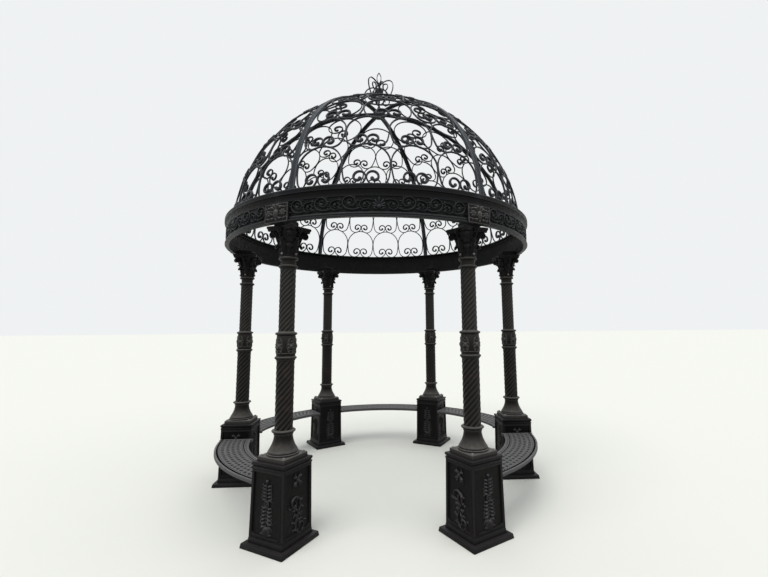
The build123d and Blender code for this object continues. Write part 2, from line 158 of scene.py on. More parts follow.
def iron_finish(name, paint, dust_and_skylight, rust, dusting_and_skylight, rusting, rubbing_and_highlight, sheen, bleaching=0.0):
    """Weathered paint on iron, with painted light and shade: what faces up is paler with dust and painted
    sky light, rust shows in patches, undersides and hollows are darkened as painted shade, and edges are
    paler with rubbing and a painted highlight.

    Dusting (dust with painted sky light), rusting and rubbing (wear with a painted highlight) are how much
    of each shows. Sheen is the lowest and the highest roughness.
    Bleaching is how much the sun has paled what stands over the middle of the columns.
    """
    material = bpy.data.materials.new(name)
    material.use_nodes = True
    tree = material.node_tree
    shader = tree.nodes["Principled BSDF"]
    place = new_node(tree, "ShaderNodeTexCoord").outputs["Object"]
    geometry = new_node(tree, "ShaderNodeNewGeometry")
    parts = new_node(tree, "ShaderNodeSeparateXYZ")
    tree.links.new(geometry.outputs["Normal"], parts.inputs["Vector"])

    shade = ramp(tree, noise(tree, place, SHADE_SCALE, 5.0), 0.3, 0.75)
    colour = blended(tree, shade, darker(paint, 0.6), paint)
    patches = ramp(tree, noise(tree, place, PATCH_SCALE, 7.0, 0.7), 0.50, 0.70)
    colour = blended(tree, times(tree, patches, rusting), colour, rust)
    if bleaching:
        height = new_node(tree, "ShaderNodeSeparateXYZ")
        tree.links.new(place, height.inputs["Vector"])
        upper = ramp(tree, height.outputs["Z"], BLEACHED_FROM, BLEACHED_FULL)
        colour = blended(tree, times(tree, upper, bleaching), colour, darker(dust_and_skylight, 0.4))
    # Painted shade: what faces down is darkened towards a tenth of the paint's colour
    painted_underside_shade = ramp(tree, parts.outputs["Z"], -0.60, -0.02, 0.95, 0.0)
    colour = blended(tree, painted_underside_shade, colour, darker(paint, 0.1))
    # Dust with painted sky light: what faces up is laid over with the pale dust colour through a noisy film
    facing_up = ramp(tree, parts.outputs["Z"], 0.10, 0.80)
    film = ramp(tree, noise(tree, place, FILM_SCALE, 5.0, 0.7), 0.25, 0.7, 0.55, 1.0)
    colour = blended(tree, times(tree, times(tree, facing_up, film), dusting_and_skylight), colour, dust_and_skylight)
    # Rubbed wear with a painted highlight: sharp outward edges are made paler
    edges = ramp(tree, geometry.outputs["Pointiness"], 0.51, 0.59)
    rubbed_and_highlight = tuple(0.6 * c + BARE_METAL_AND_HIGHLIGHT for c in dust_and_skylight)
    colour = blended(tree, times(tree, edges, rubbing_and_highlight), colour, rubbed_and_highlight)
    # Painted shade: hollows and creases are darkened towards a fifth of the paint's colour
    painted_hollow_shade = ramp(tree, geometry.outputs["Pointiness"], 0.42, 0.495, 1.0, 0.0)
    colour = blended(tree, times(tree, painted_hollow_shade, 0.9), colour, darker(paint, 0.2))
    tree.links.new(colour, shader.inputs["Base Color"])

    gloss = ramp(tree, noise(tree, place, SHEEN_SCALE, 4.0), 0.3, 0.7, *sheen)
    tree.links.new(gloss, shader.inputs["Roughness"])
    shader.inputs["Metallic"].default_value = 0.0
    shader.inputs["Specular IOR Level"].default_value = GLOSS

    grain = bump(tree, noise(tree, place, GRAIN_SCALE, 3.0, 0.6), 0.35, GRAIN_DEPTH)
    wave = bump(tree, noise(tree, place, WAVE_SCALE, 3.0), 0.3, WAVE_DEPTH)
    tree.links.new(grain.outputs["Normal"], wave.inputs["Normal"])
    tree.links.new(wave.outputs["Normal"], shader.inputs["Normal"])
    return material


cast_paint = iron_finish(
    "cast_paint", paint=(0.0068, 0.0052, 0.0056), dust_and_skylight=(0.036, 0.032, 0.031), rust=(0.018, 0.010, 0.008),
    dusting_and_skylight=0.45, rusting=0.35, rubbing_and_highlight=0.16, sheen=(0.36, 0.56))
# Relief: paler than the cast ground, with dust and painted highlights on its leaves
relief_dust_and_highlight = iron_finish(
    "relief_dust_and_highlight", paint=(0.0095, 0.0078, 0.0078), dust_and_skylight=(0.090, 0.082, 0.078), rust=(0.026, 0.015, 0.012),
    dusting_and_skylight=0.60, rusting=0.30, rubbing_and_highlight=0.32, sheen=(0.34, 0.52))
shaft_paint = iron_finish(
    "shaft_paint", paint=(0.0095, 0.0082, 0.0068), dust_and_skylight=(0.145, 0.135, 0.120), rust=(0.046, 0.028, 0.020),
    dusting_and_skylight=0.75, rusting=0.50, rubbing_and_highlight=0.55, sheen=(0.38, 0.58), bleaching=0.30)
bar_paint = iron_finish(
    "bar_paint", paint=(0.0105, 0.0108, 0.0120), dust_and_skylight=(0.075, 0.080, 0.088), rust=(0.025, 0.017, 0.014),
    dusting_and_skylight=0.50, rusting=0.20, rubbing_and_highlight=0.70, sheen=(0.36, 0.56))
beam_paint = iron_finish(
    "beam_paint", paint=(0.0080, 0.0080, 0.0092), dust_and_skylight=(0.075, 0.078, 0.082), rust=(0.022, 0.015, 0.013),
    dusting_and_skylight=0.70, rusting=0.30, rubbing_and_highlight=0.32, sheen=(0.36, 0.56))
# Ribs: paint made pale as a painted reflection of the sky on their faces
rib_paint_painted_skylight = iron_finish(
    "rib_paint_painted_skylight", paint=(0.0500, 0.0560, 0.0640), dust_and_skylight=(0.120, 0.130, 0.142), rust=(0.045, 0.036, 0.030),
    dusting_and_skylight=0.50, rusting=0.20, rubbing_and_highlight=0.70, sheen=(0.40, 0.60))
seat_paint = iron_finish(
    "seat_paint", paint=(0.0130, 0.0122, 0.0122), dust_and_skylight=(0.155, 0.151, 0.146), rust=(0.045, 0.028, 0.020),
    dusting_and_skylight=0.90, rusting=0.25, rubbing_and_highlight=0.70, sheen=(0.45, 0.65))
# Plaque relief: paler with dust and with painted sky light
plaque_dust_and_painted_light = iron_finish(
    "plaque_dust_and_painted_light", paint=(0.0240, 0.0215, 0.0200), dust_and_skylight=(0.190, 0.178, 0.165), rust=(0.040, 0.026, 0.020),
    dusting_and_skylight=0.85, rusting=0.25, rubbing_and_highlight=0.55, sheen=(0.36, 0.54))
# Bolts and balls: pale bare metal with a painted glint
bolt_metal_and_painted_glint = iron_finish(
    "bolt_metal_and_painted_glint", paint=(0.160, 0.150, 0.135), dust_and_skylight=(0.330, 0.310, 0.280), rust=(0.090, 0.050, 0.035),
    dusting_and_skylight=0.80, rusting=0.30, rubbing_and_highlight=0.70, sheen=(0.35, 0.55))


# Helpers for the meshes
def smooth(mesh, limit=38):
    """Smooth shading but for the edges sharper than a limit in degrees."""
    mesh.polygons.foreach_set("use_smooth", [True] * len(mesh.polygons))
    mesh.set_sharp_from_angle(angle=radians(limit))


def finished_mesh(bm, name):
    """A mesh of the work, with its doubles merged and its faces turned outwards."""
    bmesh.ops.remove_doubles(bm, verts=bm.verts, dist=1e-6)
    bmesh.ops.recalc_face_normals(bm, faces=bm.faces)
    mesh = bpy.data.meshes.new(name)
    bm.to_mesh(mesh)
    bm.free()
    smooth(mesh)
    return mesh


def piece(name, mesh, material, nodes, place=Matrix()):
    """A shown piece that stands for some CAD nodes; its place goes into its mesh."""
    own = mesh.copy()
    own.name = name
    own.transform(place)
    if place.determinant() < 0:
        own.flip_normals()
    own.materials.clear()
    own.materials.append(material)
    shown = bpy.data.objects.new(name, own)
    bpy.context.scene.collection.objects.link(shown)
    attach(shown, "root")
    if nodes:
        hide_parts(*nodes)
    return shown


def add(bm, mesh, place=Matrix()):
    """Adds a mesh to the work at a place."""
    own = mesh.copy()
    own.transform(place)
    bm.from_mesh(own)
    bpy.data.meshes.remove(own)


def shift(x, y, z):
    """Moves by x, y and z."""
    return Matrix.Translation((x, y, z))


def spun(angle):
    """Turns round Z, by radians."""
    return Matrix.Rotation(angle, 4, "Z")


def lathe(bm, outline, segments=48):
    """Turns a line of (radius, height) points, whose ends are on the axis, into a closed round shape."""
    verts = [bm.verts.new((r, 0, z)) for r, z in outline]
    edges = [bm.edges.new(pair) for pair in zip(verts, verts[1:])]
    bmesh.ops.spin(bm, geom=verts + edges, cent=(0, 0, 0), axis=UP, angle=FULL, steps=segments,
                   use_merge=True)
    bmesh.ops.remove_doubles(bm, verts=bm.verts, dist=1e-6)


def bead(radius, bottom, top, bulge, count=6):
    """Points of a half-round ring standing out from a radius."""
    middle, half = (bottom + top) / 2, (top - bottom) / 2
    return [(radius + bulge * sin(pi * i / count),
             middle - half * cos(pi * i / count)) for i in range(count + 1)]


def corners_of(made):
    """The vertices among what an operator made."""
    return [g for g in made if isinstance(g, bmesh.types.BMVert)]


def block(bm, low_half, high_half, bottom, top, bevel, segments=2):
    """A square block whose sides may taper, with bevelled edges."""
    verts = bmesh.ops.create_cube(bm, size=2)["verts"]
    for v in verts:
        half = low_half if v.co.z < 0 else high_half
        v.co = Vector((v.co.x * half, v.co.y * half, bottom if v.co.z < 0 else top))
    edges = list({e for v in verts for e in v.link_edges})
    bmesh.ops.bevel(bm, geom=edges, offset=bevel, segments=segments, profile=0.5, affect="EDGES",
                    material=-1)


def loop_of(bm, points):
    """A closed loop of edges through the points; gives back its vertices and edges."""
    verts = [bm.verts.new(p) for p in points]
    return verts + [bm.edges.new((verts[i - 1], verts[i])) for i in range(len(verts))]


def close_ends(bm):
    """Fills what is open."""
    bmesh.ops.holes_fill(bm, edges=[e for e in bm.edges if e.is_boundary], sides=0)


def swept_band(bm, outline, angle, steps):
    """Turns (radius, height) points round the dome's axis, half of the angle to either side of +X."""
    ring = loop_of(bm, [(r, 0, z) for r, z in outline])
    start = Matrix.Rotation(-angle / 2, 3, "Z")
    bmesh.ops.rotate(bm, verts=corners_of(ring), cent=(0, 0, 0), matrix=start)
    bmesh.ops.spin(bm, geom=ring, cent=(0, 0, 0), axis=UP, angle=angle, steps=steps)


def carry(bm, ring, centre, axis, angle, steps, swell, middle):
    """Carries a section round an axis in steps; swell is what its size grows by over the whole way."""
    if swell == 1:
        return bmesh.ops.spin(bm, geom=ring, cent=centre, axis=axis, angle=angle, steps=steps)["geom_last"]
    turn = Matrix.Rotation(angle / steps, 3, axis)
    grow = swell ** (1 / steps)
    for _ in range(steps):
        ring = bmesh.ops.spin(bm, geom=ring, cent=centre, axis=axis, angle=angle / steps,
                              steps=1)["geom_last"]
        middle = turn @ (middle - centre) + centre
        corners = corners_of(ring)
        bmesh.ops.scale(bm, vec=(grow, grow, grow), space=Matrix.Translation(-middle), verts=corners)
    return ring


def rounded_section(width, depth, edge):
    """Eight corners of a flat bar's section, as (sideways, outwards) from the middle of its outer face."""
    w = width / 2
    return [(-w, -edge), (-w + edge, 0), (w - edge, 0), (w, -edge),
            (w, edge - depth), (w - edge, -depth), (edge - w, -depth), (-w, edge - depth)]


def relief_section(width, height):
    """Six corners of a raised line's section; its foot lies under the ground that it stands on."""
    w, sink = width / 2, -0.003
    return [(-w, sink), (-w, 0.3 * height), (-0.35 * w, height), (0.35 * w, height), (w, 0.3 * height),
            (w, sink)]


def flat_scroll(start, heading, arcs, section, name="scroll"):
    """A bar in the XY plane along arcs: radius (under 0 turns right), sweep in degrees, steps, swell."""
    bm = bmesh.new()
    point = Vector((*start, 0))
    side = Vector((-sin(radians(heading)), cos(radians(heading)), 0))
    ring = loop_of(bm, [point + side * s + UP * z for s, z in section])
    for radius, sweep, steps, swell in arcs:
        centre = point + side * radius
        angle = radians(sweep) * (1 if radius > 0 else -1)
        ring = carry(bm, ring, centre, UP, angle, steps, swell, point)
        turn = Matrix.Rotation(angle, 3, UP)
        point = turn @ (point - centre) + centre
        side = turn @ side
    close_ends(bm)
    return finished_mesh(bm, name)


def comma_leaf(width, height, radius, sweep):
    """A curved leaf from the origin towards +X that starts thin, swells and runs out to a point."""
    thin = 0.28
    arcs = ((radius, 0.45 * sweep, 4, 1 / thin), (radius, 0.55 * sweep, 5, 0.12))
    w, h = thin * width / 2, thin * height
    return flat_scroll((0, 0), 0, arcs,
                       [(-w, -0.3 * h), (-0.7 * w, 0.6 * h), (0, h), (0.7 * w, 0.6 * h), (w, -0.3 * h)],
                       "leaf")


def knob(radius, height, segments=10):
    """A ball, flattened or drawn out to a height."""
    bm = bmesh.new()
    bmesh.ops.create_uvsphere(bm, u_segments=segments, v_segments=6, radius=1)
    bmesh.ops.scale(bm, vec=(radius, radius, height), verts=bm.verts)
    return finished_mesh(bm, "knob")


def ring_bar(radius, bar):
    """A thin round ring."""
    bm = bmesh.new()
    ring = loop_of(bm, [(radius + bar * cos(a), 0, bar * sin(a)) for a in (FULL * i / 6 for i in range(6))])
    bmesh.ops.spin(bm, geom=ring, cent=(0, 0, 0), axis=UP, angle=FULL, steps=18, use_merge=True)
    return finished_mesh(bm, "ring")


def at(x, y, angle=0.0, size=1.0, mirrored=False, z=0.0):
    """Place in the plane of an ornament; a mirrored one goes to the other side of its middle line."""
    place = shift(x, y, z) @ spun(radians(angle)) @ Matrix.Scale(size, 4)
    return Matrix.Diagonal((-1, 1, 1, 1)) @ place if mirrored else place


# Stands a flat ornament up to face +X
FACE_OUT = Matrix(((0, 0, 1, 0), (1, 0, 0, 0), (0, 1, 0, 0), (0, 0, 0, 1)))


def both(bm, mesh, x, y, angle=0.0, size=1.0, z=0.0):
    """Adds an ornament's leaf on both sides of its middle line."""
    for mirrored in (False, True):
        add(bm, mesh, at(x, y, angle, size, mirrored, z))


# Leaves and beads that the ornaments share
soft_leaf = comma_leaf(0.023, 0.016, -0.030, 95)
long_leaf = comma_leaf(0.027, 0.017, -0.060, 75)
upturned_leaf = comma_leaf(0.025, 0.017, 0.034, 105)
broad_leaf = comma_leaf(0.036, 0.019, -0.050, 85)
pearl = knob(0.009, 0.011, 8)
boss = knob(0.015, 0.016)


def spray(bm, leaves, place=Matrix(), paired=False):
    """Lays leaves (x, y, angle, size, shape) into an ornament; paired ones on both sides of its middle."""
    for x, y, angle, size, shape in leaves:
        for mirrored in (False, True) if paired else (False,):
            add(bm, shape, place @ at(x, y, angle, size, mirrored))


def straight(bm, x0, y0, x1, y1, width, height):
    """A straight raised line between two points of an ornament."""
    length = sqrt((x1 - x0) ** 2 + (y1 - y0) ** 2)
    verts = bmesh.ops.create_cube(bm, size=1)["verts"]
    for v in verts:
        top = v.co.z > 0
        v.co = Vector(((v.co.x + 0.5) * length, v.co.y * width * (0.5 if top else 1),
                       height if top else -0.003))
    side = Vector((x1 - x0, y1 - y0, 0)).normalized()
    turn = Matrix(((side.x, -side.y, 0, x0), (side.y, side.x, 0, y0), (0, 0, 1, 0), (0, 0, 0, 1)))
    bmesh.ops.transform(bm, matrix=turn, verts=verts)


# Pedestals
LEAF_PITCH = 0.0235


def candelabrum():
    """Upright ornament of the outer and inner faces: paired leaves up a stem, a ring halfway, a mound."""
    bm = bmesh.new()
    straight(bm, 0, -0.170, 0, 0.150, 0.009, 0.008)
    add(bm, knob(0.013, 0.013), at(0, 0.164))
    for i in range(5):
        both(bm, soft_leaf, 0.004, 0.120 - LEAF_PITCH * i, 58 - 3 * i, 0.92 + 0.05 * i)
        both(bm, pearl, 0.037 + 0.002 * i, 0.138 - LEAF_PITCH * i, size=0.75)
    add(bm, ring_bar(0.020, 0.0065), at(0, 0.004, z=0.004))
    add(bm, pearl, at(0, 0.004))
    for i in range(5):
        both(bm, upturned_leaf, 0.004, -0.014 - LEAF_PITCH * i, -46 - 4 * i, 0.86 + 0.07 * i)
        both(bm, pearl, 0.043 + 0.002 * i, -0.018 - LEAF_PITCH * i, size=0.75)
    both(bm, broad_leaf, 0.004, -0.150, 14, 0.95)
    both(bm, pearl, 0.046, -0.160, size=0.8)
    add(bm, knob(0.042, 0.015, 14), at(0, -0.186))
    add(bm, knob(0.024, 0.020, 12), at(0, -0.168))
    straight(bm, -0.052, -0.199, 0.052, -0.199, 0.012, 0.010)
    return finished_mesh(bm, "candelabrum")


TOP_SPRAY = (
    (0.006, 0.158, 20, 0.95, upturned_leaf), (0.004, 0.162, 62, 0.95, soft_leaf),
    (0.010, 0.146, -22, 0.85, long_leaf), (0.006, 0.142, -70, 0.80, upturned_leaf),
)
BRANCH_ARCS = ((-0.200, 12, 3, 1.0), (0.064, 92, 8, 1.0), (0.038, 150, 10, 0.95), (0.022, 190, 10, 0.85))
BRANCH_LEAVES = (
    (0.002, 0.010, -10, 1.00, soft_leaf), (0.000, 0.016, 100, 1.00, upturned_leaf),
    (0.018, 0.052, 10, 1.00, soft_leaf), (0.016, 0.072, 48, 1.05, upturned_leaf),
    (-0.010, 0.098, 78, 0.85, soft_leaf), (-0.054, 0.094, 128, 0.90, soft_leaf),
    (-0.068, 0.060, 190, 0.85, soft_leaf), (-0.036, 0.058, 15, 0.70, soft_leaf),
    (-0.022, 0.040, 215, 0.85, soft_leaf),
)
BRANCH_PEARLS = ((0.056, 0.040), (0.046, 0.096), (-0.030, 0.006), (0.040, 0.004))


def foliage():
    """Ornament of the two side faces: a small spray over an S-shaped branch of curling leaves."""
    bm = bmesh.new()
    add(bm, boss, at(0, 0.150))
    spray(bm, TOP_SPRAY, paired=True)
    both(bm, pearl, 0.036, 0.176)
    both(bm, pearl, 0.022, 0.112)
    branch = flat_scroll((0, 0), 72, BRANCH_ARCS, relief_section(0.013, 0.013))
    middle = shift(0.004, -0.096, 0)
    for place in (middle, middle @ spun(pi)):
        add(bm, branch, place)
        spray(bm, BRANCH_LEAVES, place)
        add(bm, boss, place @ at(-0.026, 0.066, size=0.9))
        for x, y in BRANCH_PEARLS:
            add(bm, pearl, place @ at(x, y))
    return finished_mesh(bm, "foliage")


# What tells a panel's face from the rails round it: its least area, and how far off the middle it may lie
PANEL_LEAST, PANEL_OFF_MIDDLE = 0.05, 0.02
# Raised rim round a panel and the slope down to its ground
RIM_WIDTH, RIM_HEIGHT, SLOPE_WIDTH, SLOPE_DEPTH = 0.004, 0.004, 0.005, 0.011
RELIEF_SINK = 0.0068


def pedestal():
    """Foot plate and step, a tapering box with a round-cornered sunk panel in each side, and a cornice."""
    bm = bmesh.new()
    verts = bmesh.ops.create_cube(bm, size=2)["verts"]
    for v in verts:
        half = BOX_FOOT_HALF if v.co.z < 0 else BOX_TOP_HALF
        v.co = Vector((v.co.x * half, v.co.y * half, STEP_TOP if v.co.z < 0 else BOX_TOP))
    bm.normal_update()
    sides = [f for f in bm.faces if abs(f.normal.z) < 0.5]
    bmesh.ops.inset_individual(bm, faces=sides, thickness=PANEL_MARGIN, depth=0)
    low = sorted({v for f in sides for v in f.verts}, key=lambda v: v.co.z)[:8]
    bmesh.ops.bevel(bm, geom=low, offset=PANEL_CORNER, segments=4, profile=0.5, affect="VERTICES",
                    material=-1)
    bm.normal_update()
    middle = (STEP_TOP + BOX_TOP) / 2
    sides = [f for f in bm.faces if abs(f.normal.z) < 0.5 and f.calc_area() > PANEL_LEAST
             and abs(f.calc_center_bounds().z - middle) < PANEL_OFF_MIDDLE]
    bmesh.ops.inset_individual(bm, faces=sides, thickness=RIM_WIDTH, depth=RIM_HEIGHT)
    bmesh.ops.inset_individual(bm, faces=sides, thickness=RIM_WIDTH, depth=0.0)
    bmesh.ops.inset_individual(bm, faces=sides, thickness=SLOPE_WIDTH, depth=-SLOPE_DEPTH)
    block(bm, PLATE_HALF, PLATE_HALF - 0.006, 0, PLATE_TOP, 0.006)
    block(bm, STEP_HALF, STEP_HALF - 0.003, PLATE_TOP - 0.004, STEP_TOP + 0.002, 0.005)
    block(bm, BOX_TOP_HALF + 0.002, BOX_TOP_HALF + 0.006, BOX_TOP - 0.006, BOX_TOP + 0.010, 0.003)
    block(bm, BOX_TOP_HALF - 0.004, BOX_TOP_HALF + 0.002, BOX_TOP + 0.006,
          CORNICE_TOP - CORNICE_LIP + 0.002, 0.003)
    block(bm, CORNICE_HALF, CORNICE_HALF, CORNICE_TOP - CORNICE_LIP, CORNICE_TOP, 0.006, 3)
    return finished_mesh(bm, "pedestal")


def panel_relief():
    """Ornament in the four panels of a pedestal."""
    bm = bmesh.new()
    upright, leaves = candelabrum(), foliage()
    half = (BOX_FOOT_HALF + BOX_TOP_HALF) / 2 - RELIEF_SINK
    for side, mesh in enumerate((upright, leaves, upright, leaves)):
        add(bm, mesh, spun(side * pi / 2) @ shift(half, 0, (STEP_TOP + BOX_TOP) / 2) @ FACE_OUT)
    return finished_mesh(bm, "panel_relief")


# Columns
GROOVE = (0.0, 0.12, 0.62, 0.92, 1.0, 0.92, 0.62, 0.12)
FLUTES = 10


def twisted_shaft(bm, radius, depth, bottom, top, lead, step=0.014):
    """A round shaft with flutes that wind up it; lead is its rise for one full turn."""
    ring = bmesh.ops.create_circle(bm, segments=FLUTES * len(GROOVE), radius=radius)["verts"]
    for i, v in enumerate(ring):
        v.co *= 1 - depth / radius * GROOVE[i % len(GROOVE)]
        v.co.z = bottom
    count = round((top - bottom) / step)
    rise = Vector((0, 0, (top - bottom) / count))
    turn = Matrix.Rotation(FULL * rise.z / lead, 3, "Z")
    edges = list({e for v in ring for e in v.link_edges})
    for _ in range(count):
        made = bmesh.ops.extrude_edge_only(bm, edges=edges)["geom"]
        ring = corners_of(made)
        edges = [g for g in made if isinstance(g, bmesh.types.BMEdge) and g.is_boundary]
        bmesh.ops.rotate(bm, verts=ring, cent=(0, 0, 0), matrix=turn)
        bmesh.ops.translate(bm, verts=ring, vec=rise)
    close_ends(bm)


def wrapped(mesh, radius, height, name):
    """Bends a flat ornament, whose X runs round, on to a column."""
    own = mesh.copy()
    own.name = name
    for v in own.vertices:
        angle, out = v.co.x / radius, radius + v.co.z
        v.co = Vector((out * cos(angle), out * sin(angle), height + v.co.y))
    return own


def band_ornament():
    """One fifth of the band between the collars: a rose between two pairs of scrolls."""
    bm = bmesh.new()
    curl = flat_scroll((0.004, -0.060), 20, ((0.026, 200, 12, 0.9), (0.013, 200, 10, 0.8)),
                       relief_section(0.008, 0.006))
    for flip in (1, -1):
        for mirrored in (False, True):
            quarter = Matrix.Diagonal((1, flip, 1, 1)) @ at(0, 0, mirrored=mirrored)
            add(bm, curl, quarter)
            add(bm, soft_leaf, quarter @ at(0.004, 0.012, 25, 0.75))
            add(bm, pearl, quarter @ at(0.017, -0.044, size=0.7))
    add(bm, boss, at(0, 0))
    for k in range(6):
        add(bm, pearl, spun(k * FULL / 6) @ at(0.015, 0, size=0.8))
    return finished_mesh(bm, "band_ornament")


# Turned parts of a column: radii, and the heights of their feet and tops
FOOT_RING, FOOT_RING_TOP = 0.118, 0.655
FOOT_FILLET, FOOT_FILLET_FOOT, FOOT_FILLET_TOP = 0.112, 0.656, 0.668
BELL_NECK, BELL_FLARE, BELL_CURVE = 0.072, 0.042, 1.9
BELL_FOOT, BELL_HEIGHT, BELL_STEPS = 0.669, 0.113, 14
BELL_RING, BELL_RING_FOOT, BELL_RING_TOP = 0.070, 0.784, 0.798
SHAFT_RING, SHAFT_RING_FOOT = 0.080, 0.803
COLLAR, COLLAR_BULGE = 0.076, 0.0105
LOWER_COLLAR_FOOT, UPPER_COLLAR_FOOT, UPPER_COLLAR_TOP = 1.362, 1.552, 1.574
BAND_RING_FOOT, BAND_RING_TOP = 1.404, 1.412
NECK, NECK_HOLLOW, NECK_BEAD = 0.063, 0.061, 0.068
LOW_BEAD_FOOT, LOW_BEAD_TOP, HIGH_BEAD_FOOT, HIGH_BEAD_TOP = 2.098, 2.120, 2.164, 2.186
# Depth of the flutes, and how far a shaft rises while its flutes go once round
LOWER_FLUTE, LOWER_LEAD, UPPER_FLUTE, UPPER_LEAD = 0.0052, 0.467, 0.0048, 0.412
SHAFT_LAP_FOOT, SHAFT_LAP_TOP = 0.006, 0.008
BAND_ROSES = 5


def column():
    """Foot plate, bell foot, two twisted shafts, an ornamented band between collars, and a neck band."""
    bm = bmesh.new()
    block(bm, FOOT_HALF, FOOT_HALF - 0.001, CORNICE_TOP - 0.001, FOOT_TOP, 0.006, 3)
    line = [(0, FOOT_TOP - 0.002), (FOOT_RING, FOOT_TOP - 0.002)]
    line += bead(FOOT_RING, FOOT_TOP, FOOT_RING_TOP, 0.006)
    line += bead(FOOT_FILLET, FOOT_FILLET_FOOT, FOOT_FILLET_TOP, 0.004)
    for i in range(BELL_STEPS + 1):
        rise = i / BELL_STEPS
        line.append((BELL_NECK + BELL_FLARE * (1 - rise) ** BELL_CURVE, BELL_FOOT + BELL_HEIGHT * rise))
    line += bead(BELL_RING, BELL_RING_FOOT, BELL_RING_TOP, 0.007)
    line += [(0.074, 0.800), (0.076, SHAFT_RING_FOOT)]
    line += bead(SHAFT_RING, SHAFT_RING_FOOT, LOWER_SHAFT_FOOT, 0.0125, 8)
    line += [(LOWER_SHAFT, LOWER_SHAFT_FOOT + 0.001), (0, LOWER_SHAFT_FOOT + 0.001)]
    lathe(bm, line)
    for radius, flute, foot, top, lead in (
        (LOWER_SHAFT, LOWER_FLUTE, LOWER_SHAFT_FOOT, LOWER_SHAFT_TOP, LOWER_LEAD),
        (UPPER_SHAFT, UPPER_FLUTE, UPPER_SHAFT_FOOT, UPPER_SHAFT_TOP, UPPER_LEAD),
    ):
        twisted_shaft(bm, radius + 0.001, flute, foot - SHAFT_LAP_FOOT, top + SHAFT_LAP_TOP, lead)
    line = [(0, LOWER_SHAFT_TOP - 0.004), (LOWER_SHAFT, LOWER_SHAFT_TOP - 0.004)]
    line += bead(0.072, LOWER_SHAFT_TOP, LOWER_COLLAR_FOOT, 0.004)
    line += bead(COLLAR, LOWER_COLLAR_FOOT, BAND_FOOT, COLLAR_BULGE, 8)
    line += [(BAND_RADIUS, BAND_FOOT + 0.001), (BAND_RADIUS, BAND_RING_FOOT - 0.001)]
    line += bead(BAND_RADIUS, BAND_RING_FOOT, BAND_RING_TOP, 0.004)
    line += [(BAND_RADIUS, BAND_RING_TOP + 0.001), (BAND_RADIUS, BAND_TOP - 0.001)]
    line += [(0.073, BAND_TOP), (0.073, UPPER_COLLAR_FOOT - 0.001)]
    line += bead(COLLAR, UPPER_COLLAR_FOOT, UPPER_COLLAR_TOP, COLLAR_BULGE, 8)
    line += [(0.070, UPPER_COLLAR_TOP + 0.001), (0.068, UPPER_SHAFT_FOOT)]
    line += [(0.062, UPPER_SHAFT_FOOT + 0.004), (0, UPPER_SHAFT_FOOT + 0.004)]
    lathe(bm, line)
    ornament = wrapped(band_ornament(), BAND_RADIUS, (BAND_FOOT + BAND_TOP) / 2, "band_ornament_round")
    for k in range(BAND_ROSES):
        add(bm, ornament, spun(k * FULL / BAND_ROSES))
    line = [(0, UPPER_SHAFT_TOP - 0.003), (UPPER_SHAFT, UPPER_SHAFT_TOP - 0.003)]
    line += bead(UPPER_SHAFT + 0.001, UPPER_SHAFT_TOP, LOW_BEAD_FOOT - 0.001, 0.002)
    line += bead(NECK_BEAD, LOW_BEAD_FOOT, LOW_BEAD_TOP, COLLAR_BULGE, 8)
    line += [(NECK, LOW_BEAD_TOP + 0.001), (NECK_HOLLOW, LOW_BEAD_TOP + 0.008)]
    line += [(NECK_HOLLOW, HIGH_BEAD_FOOT - 0.008), (NECK, HIGH_BEAD_FOOT - 0.001)]
    line += bead(NECK_BEAD, HIGH_BEAD_FOOT, HIGH_BEAD_TOP, COLLAR_BULGE, 8)
    line += [(0.064, HIGH_BEAD_TOP + 0.001), (0.064, COLUMN_TOP), (0, COLUMN_TOP)]
    lathe(bm, line)
    return finished_mesh(bm, "column")


BOLT_OUT = 0.113
BALL_RADIUS, BALL_OUT, BALL_UP = 0.0105, 0.079, 2.209


def foot_bolts():
    """Four bolt heads with washers on a foot plate, and four balls at the foot of the capital's leaves."""
    bm = bmesh.new()
    washer, head, corner = 0.0135, 0.009, 0.007
    outline = [(0, -0.002), (washer, -0.002), (washer, 0.0025), (head, 0.003), (head, 0.008),
               (corner, 0.010), (0, 0.010)]
    for x in (-BOLT_OUT, BOLT_OUT):
        for y in (-BOLT_OUT, BOLT_OUT):
            bolt = bmesh.new()
            lathe(bolt, outline, 12)
            add(bm, finished_mesh(bolt, "bolt"), shift(x, y, FOOT_TOP))
    ball = knob(BALL_RADIUS, BALL_RADIUS, 10)
    for k in range(4):
        add(bm, ball, spun(k * FULL / 4) @ shift(BALL_OUT, 0, BALL_UP))
    return finished_mesh(bm, "foot_bolts")


# Capitals
# Half waves of the notches along a leaf, and the share of its width that they take
LEAF_NOTCHES, NOTCH_SHARE = 3.5, 0.22
# Share of its width at the foot, how it widens, and from where up it narrows and how
LEAF_FOOT_SHARE, LEAF_WIDENS, LEAF_NARROWS_FROM, LEAF_NARROWS = 0.62, 0.75, 0.62, 2.42
# Where up the leaf its tip starts to curl, the bend of the curl outwards, and how far and how it falls
CURL_FROM, CURL_OUT, CURL_FALL, CURL_FALL_BEND = 0.68, 1.5, 0.231, 2.4
LEAF_RIB, LEAF_EDGE_BACK, LEAF_THICKNESS = 0.010, 0.006, 0.005


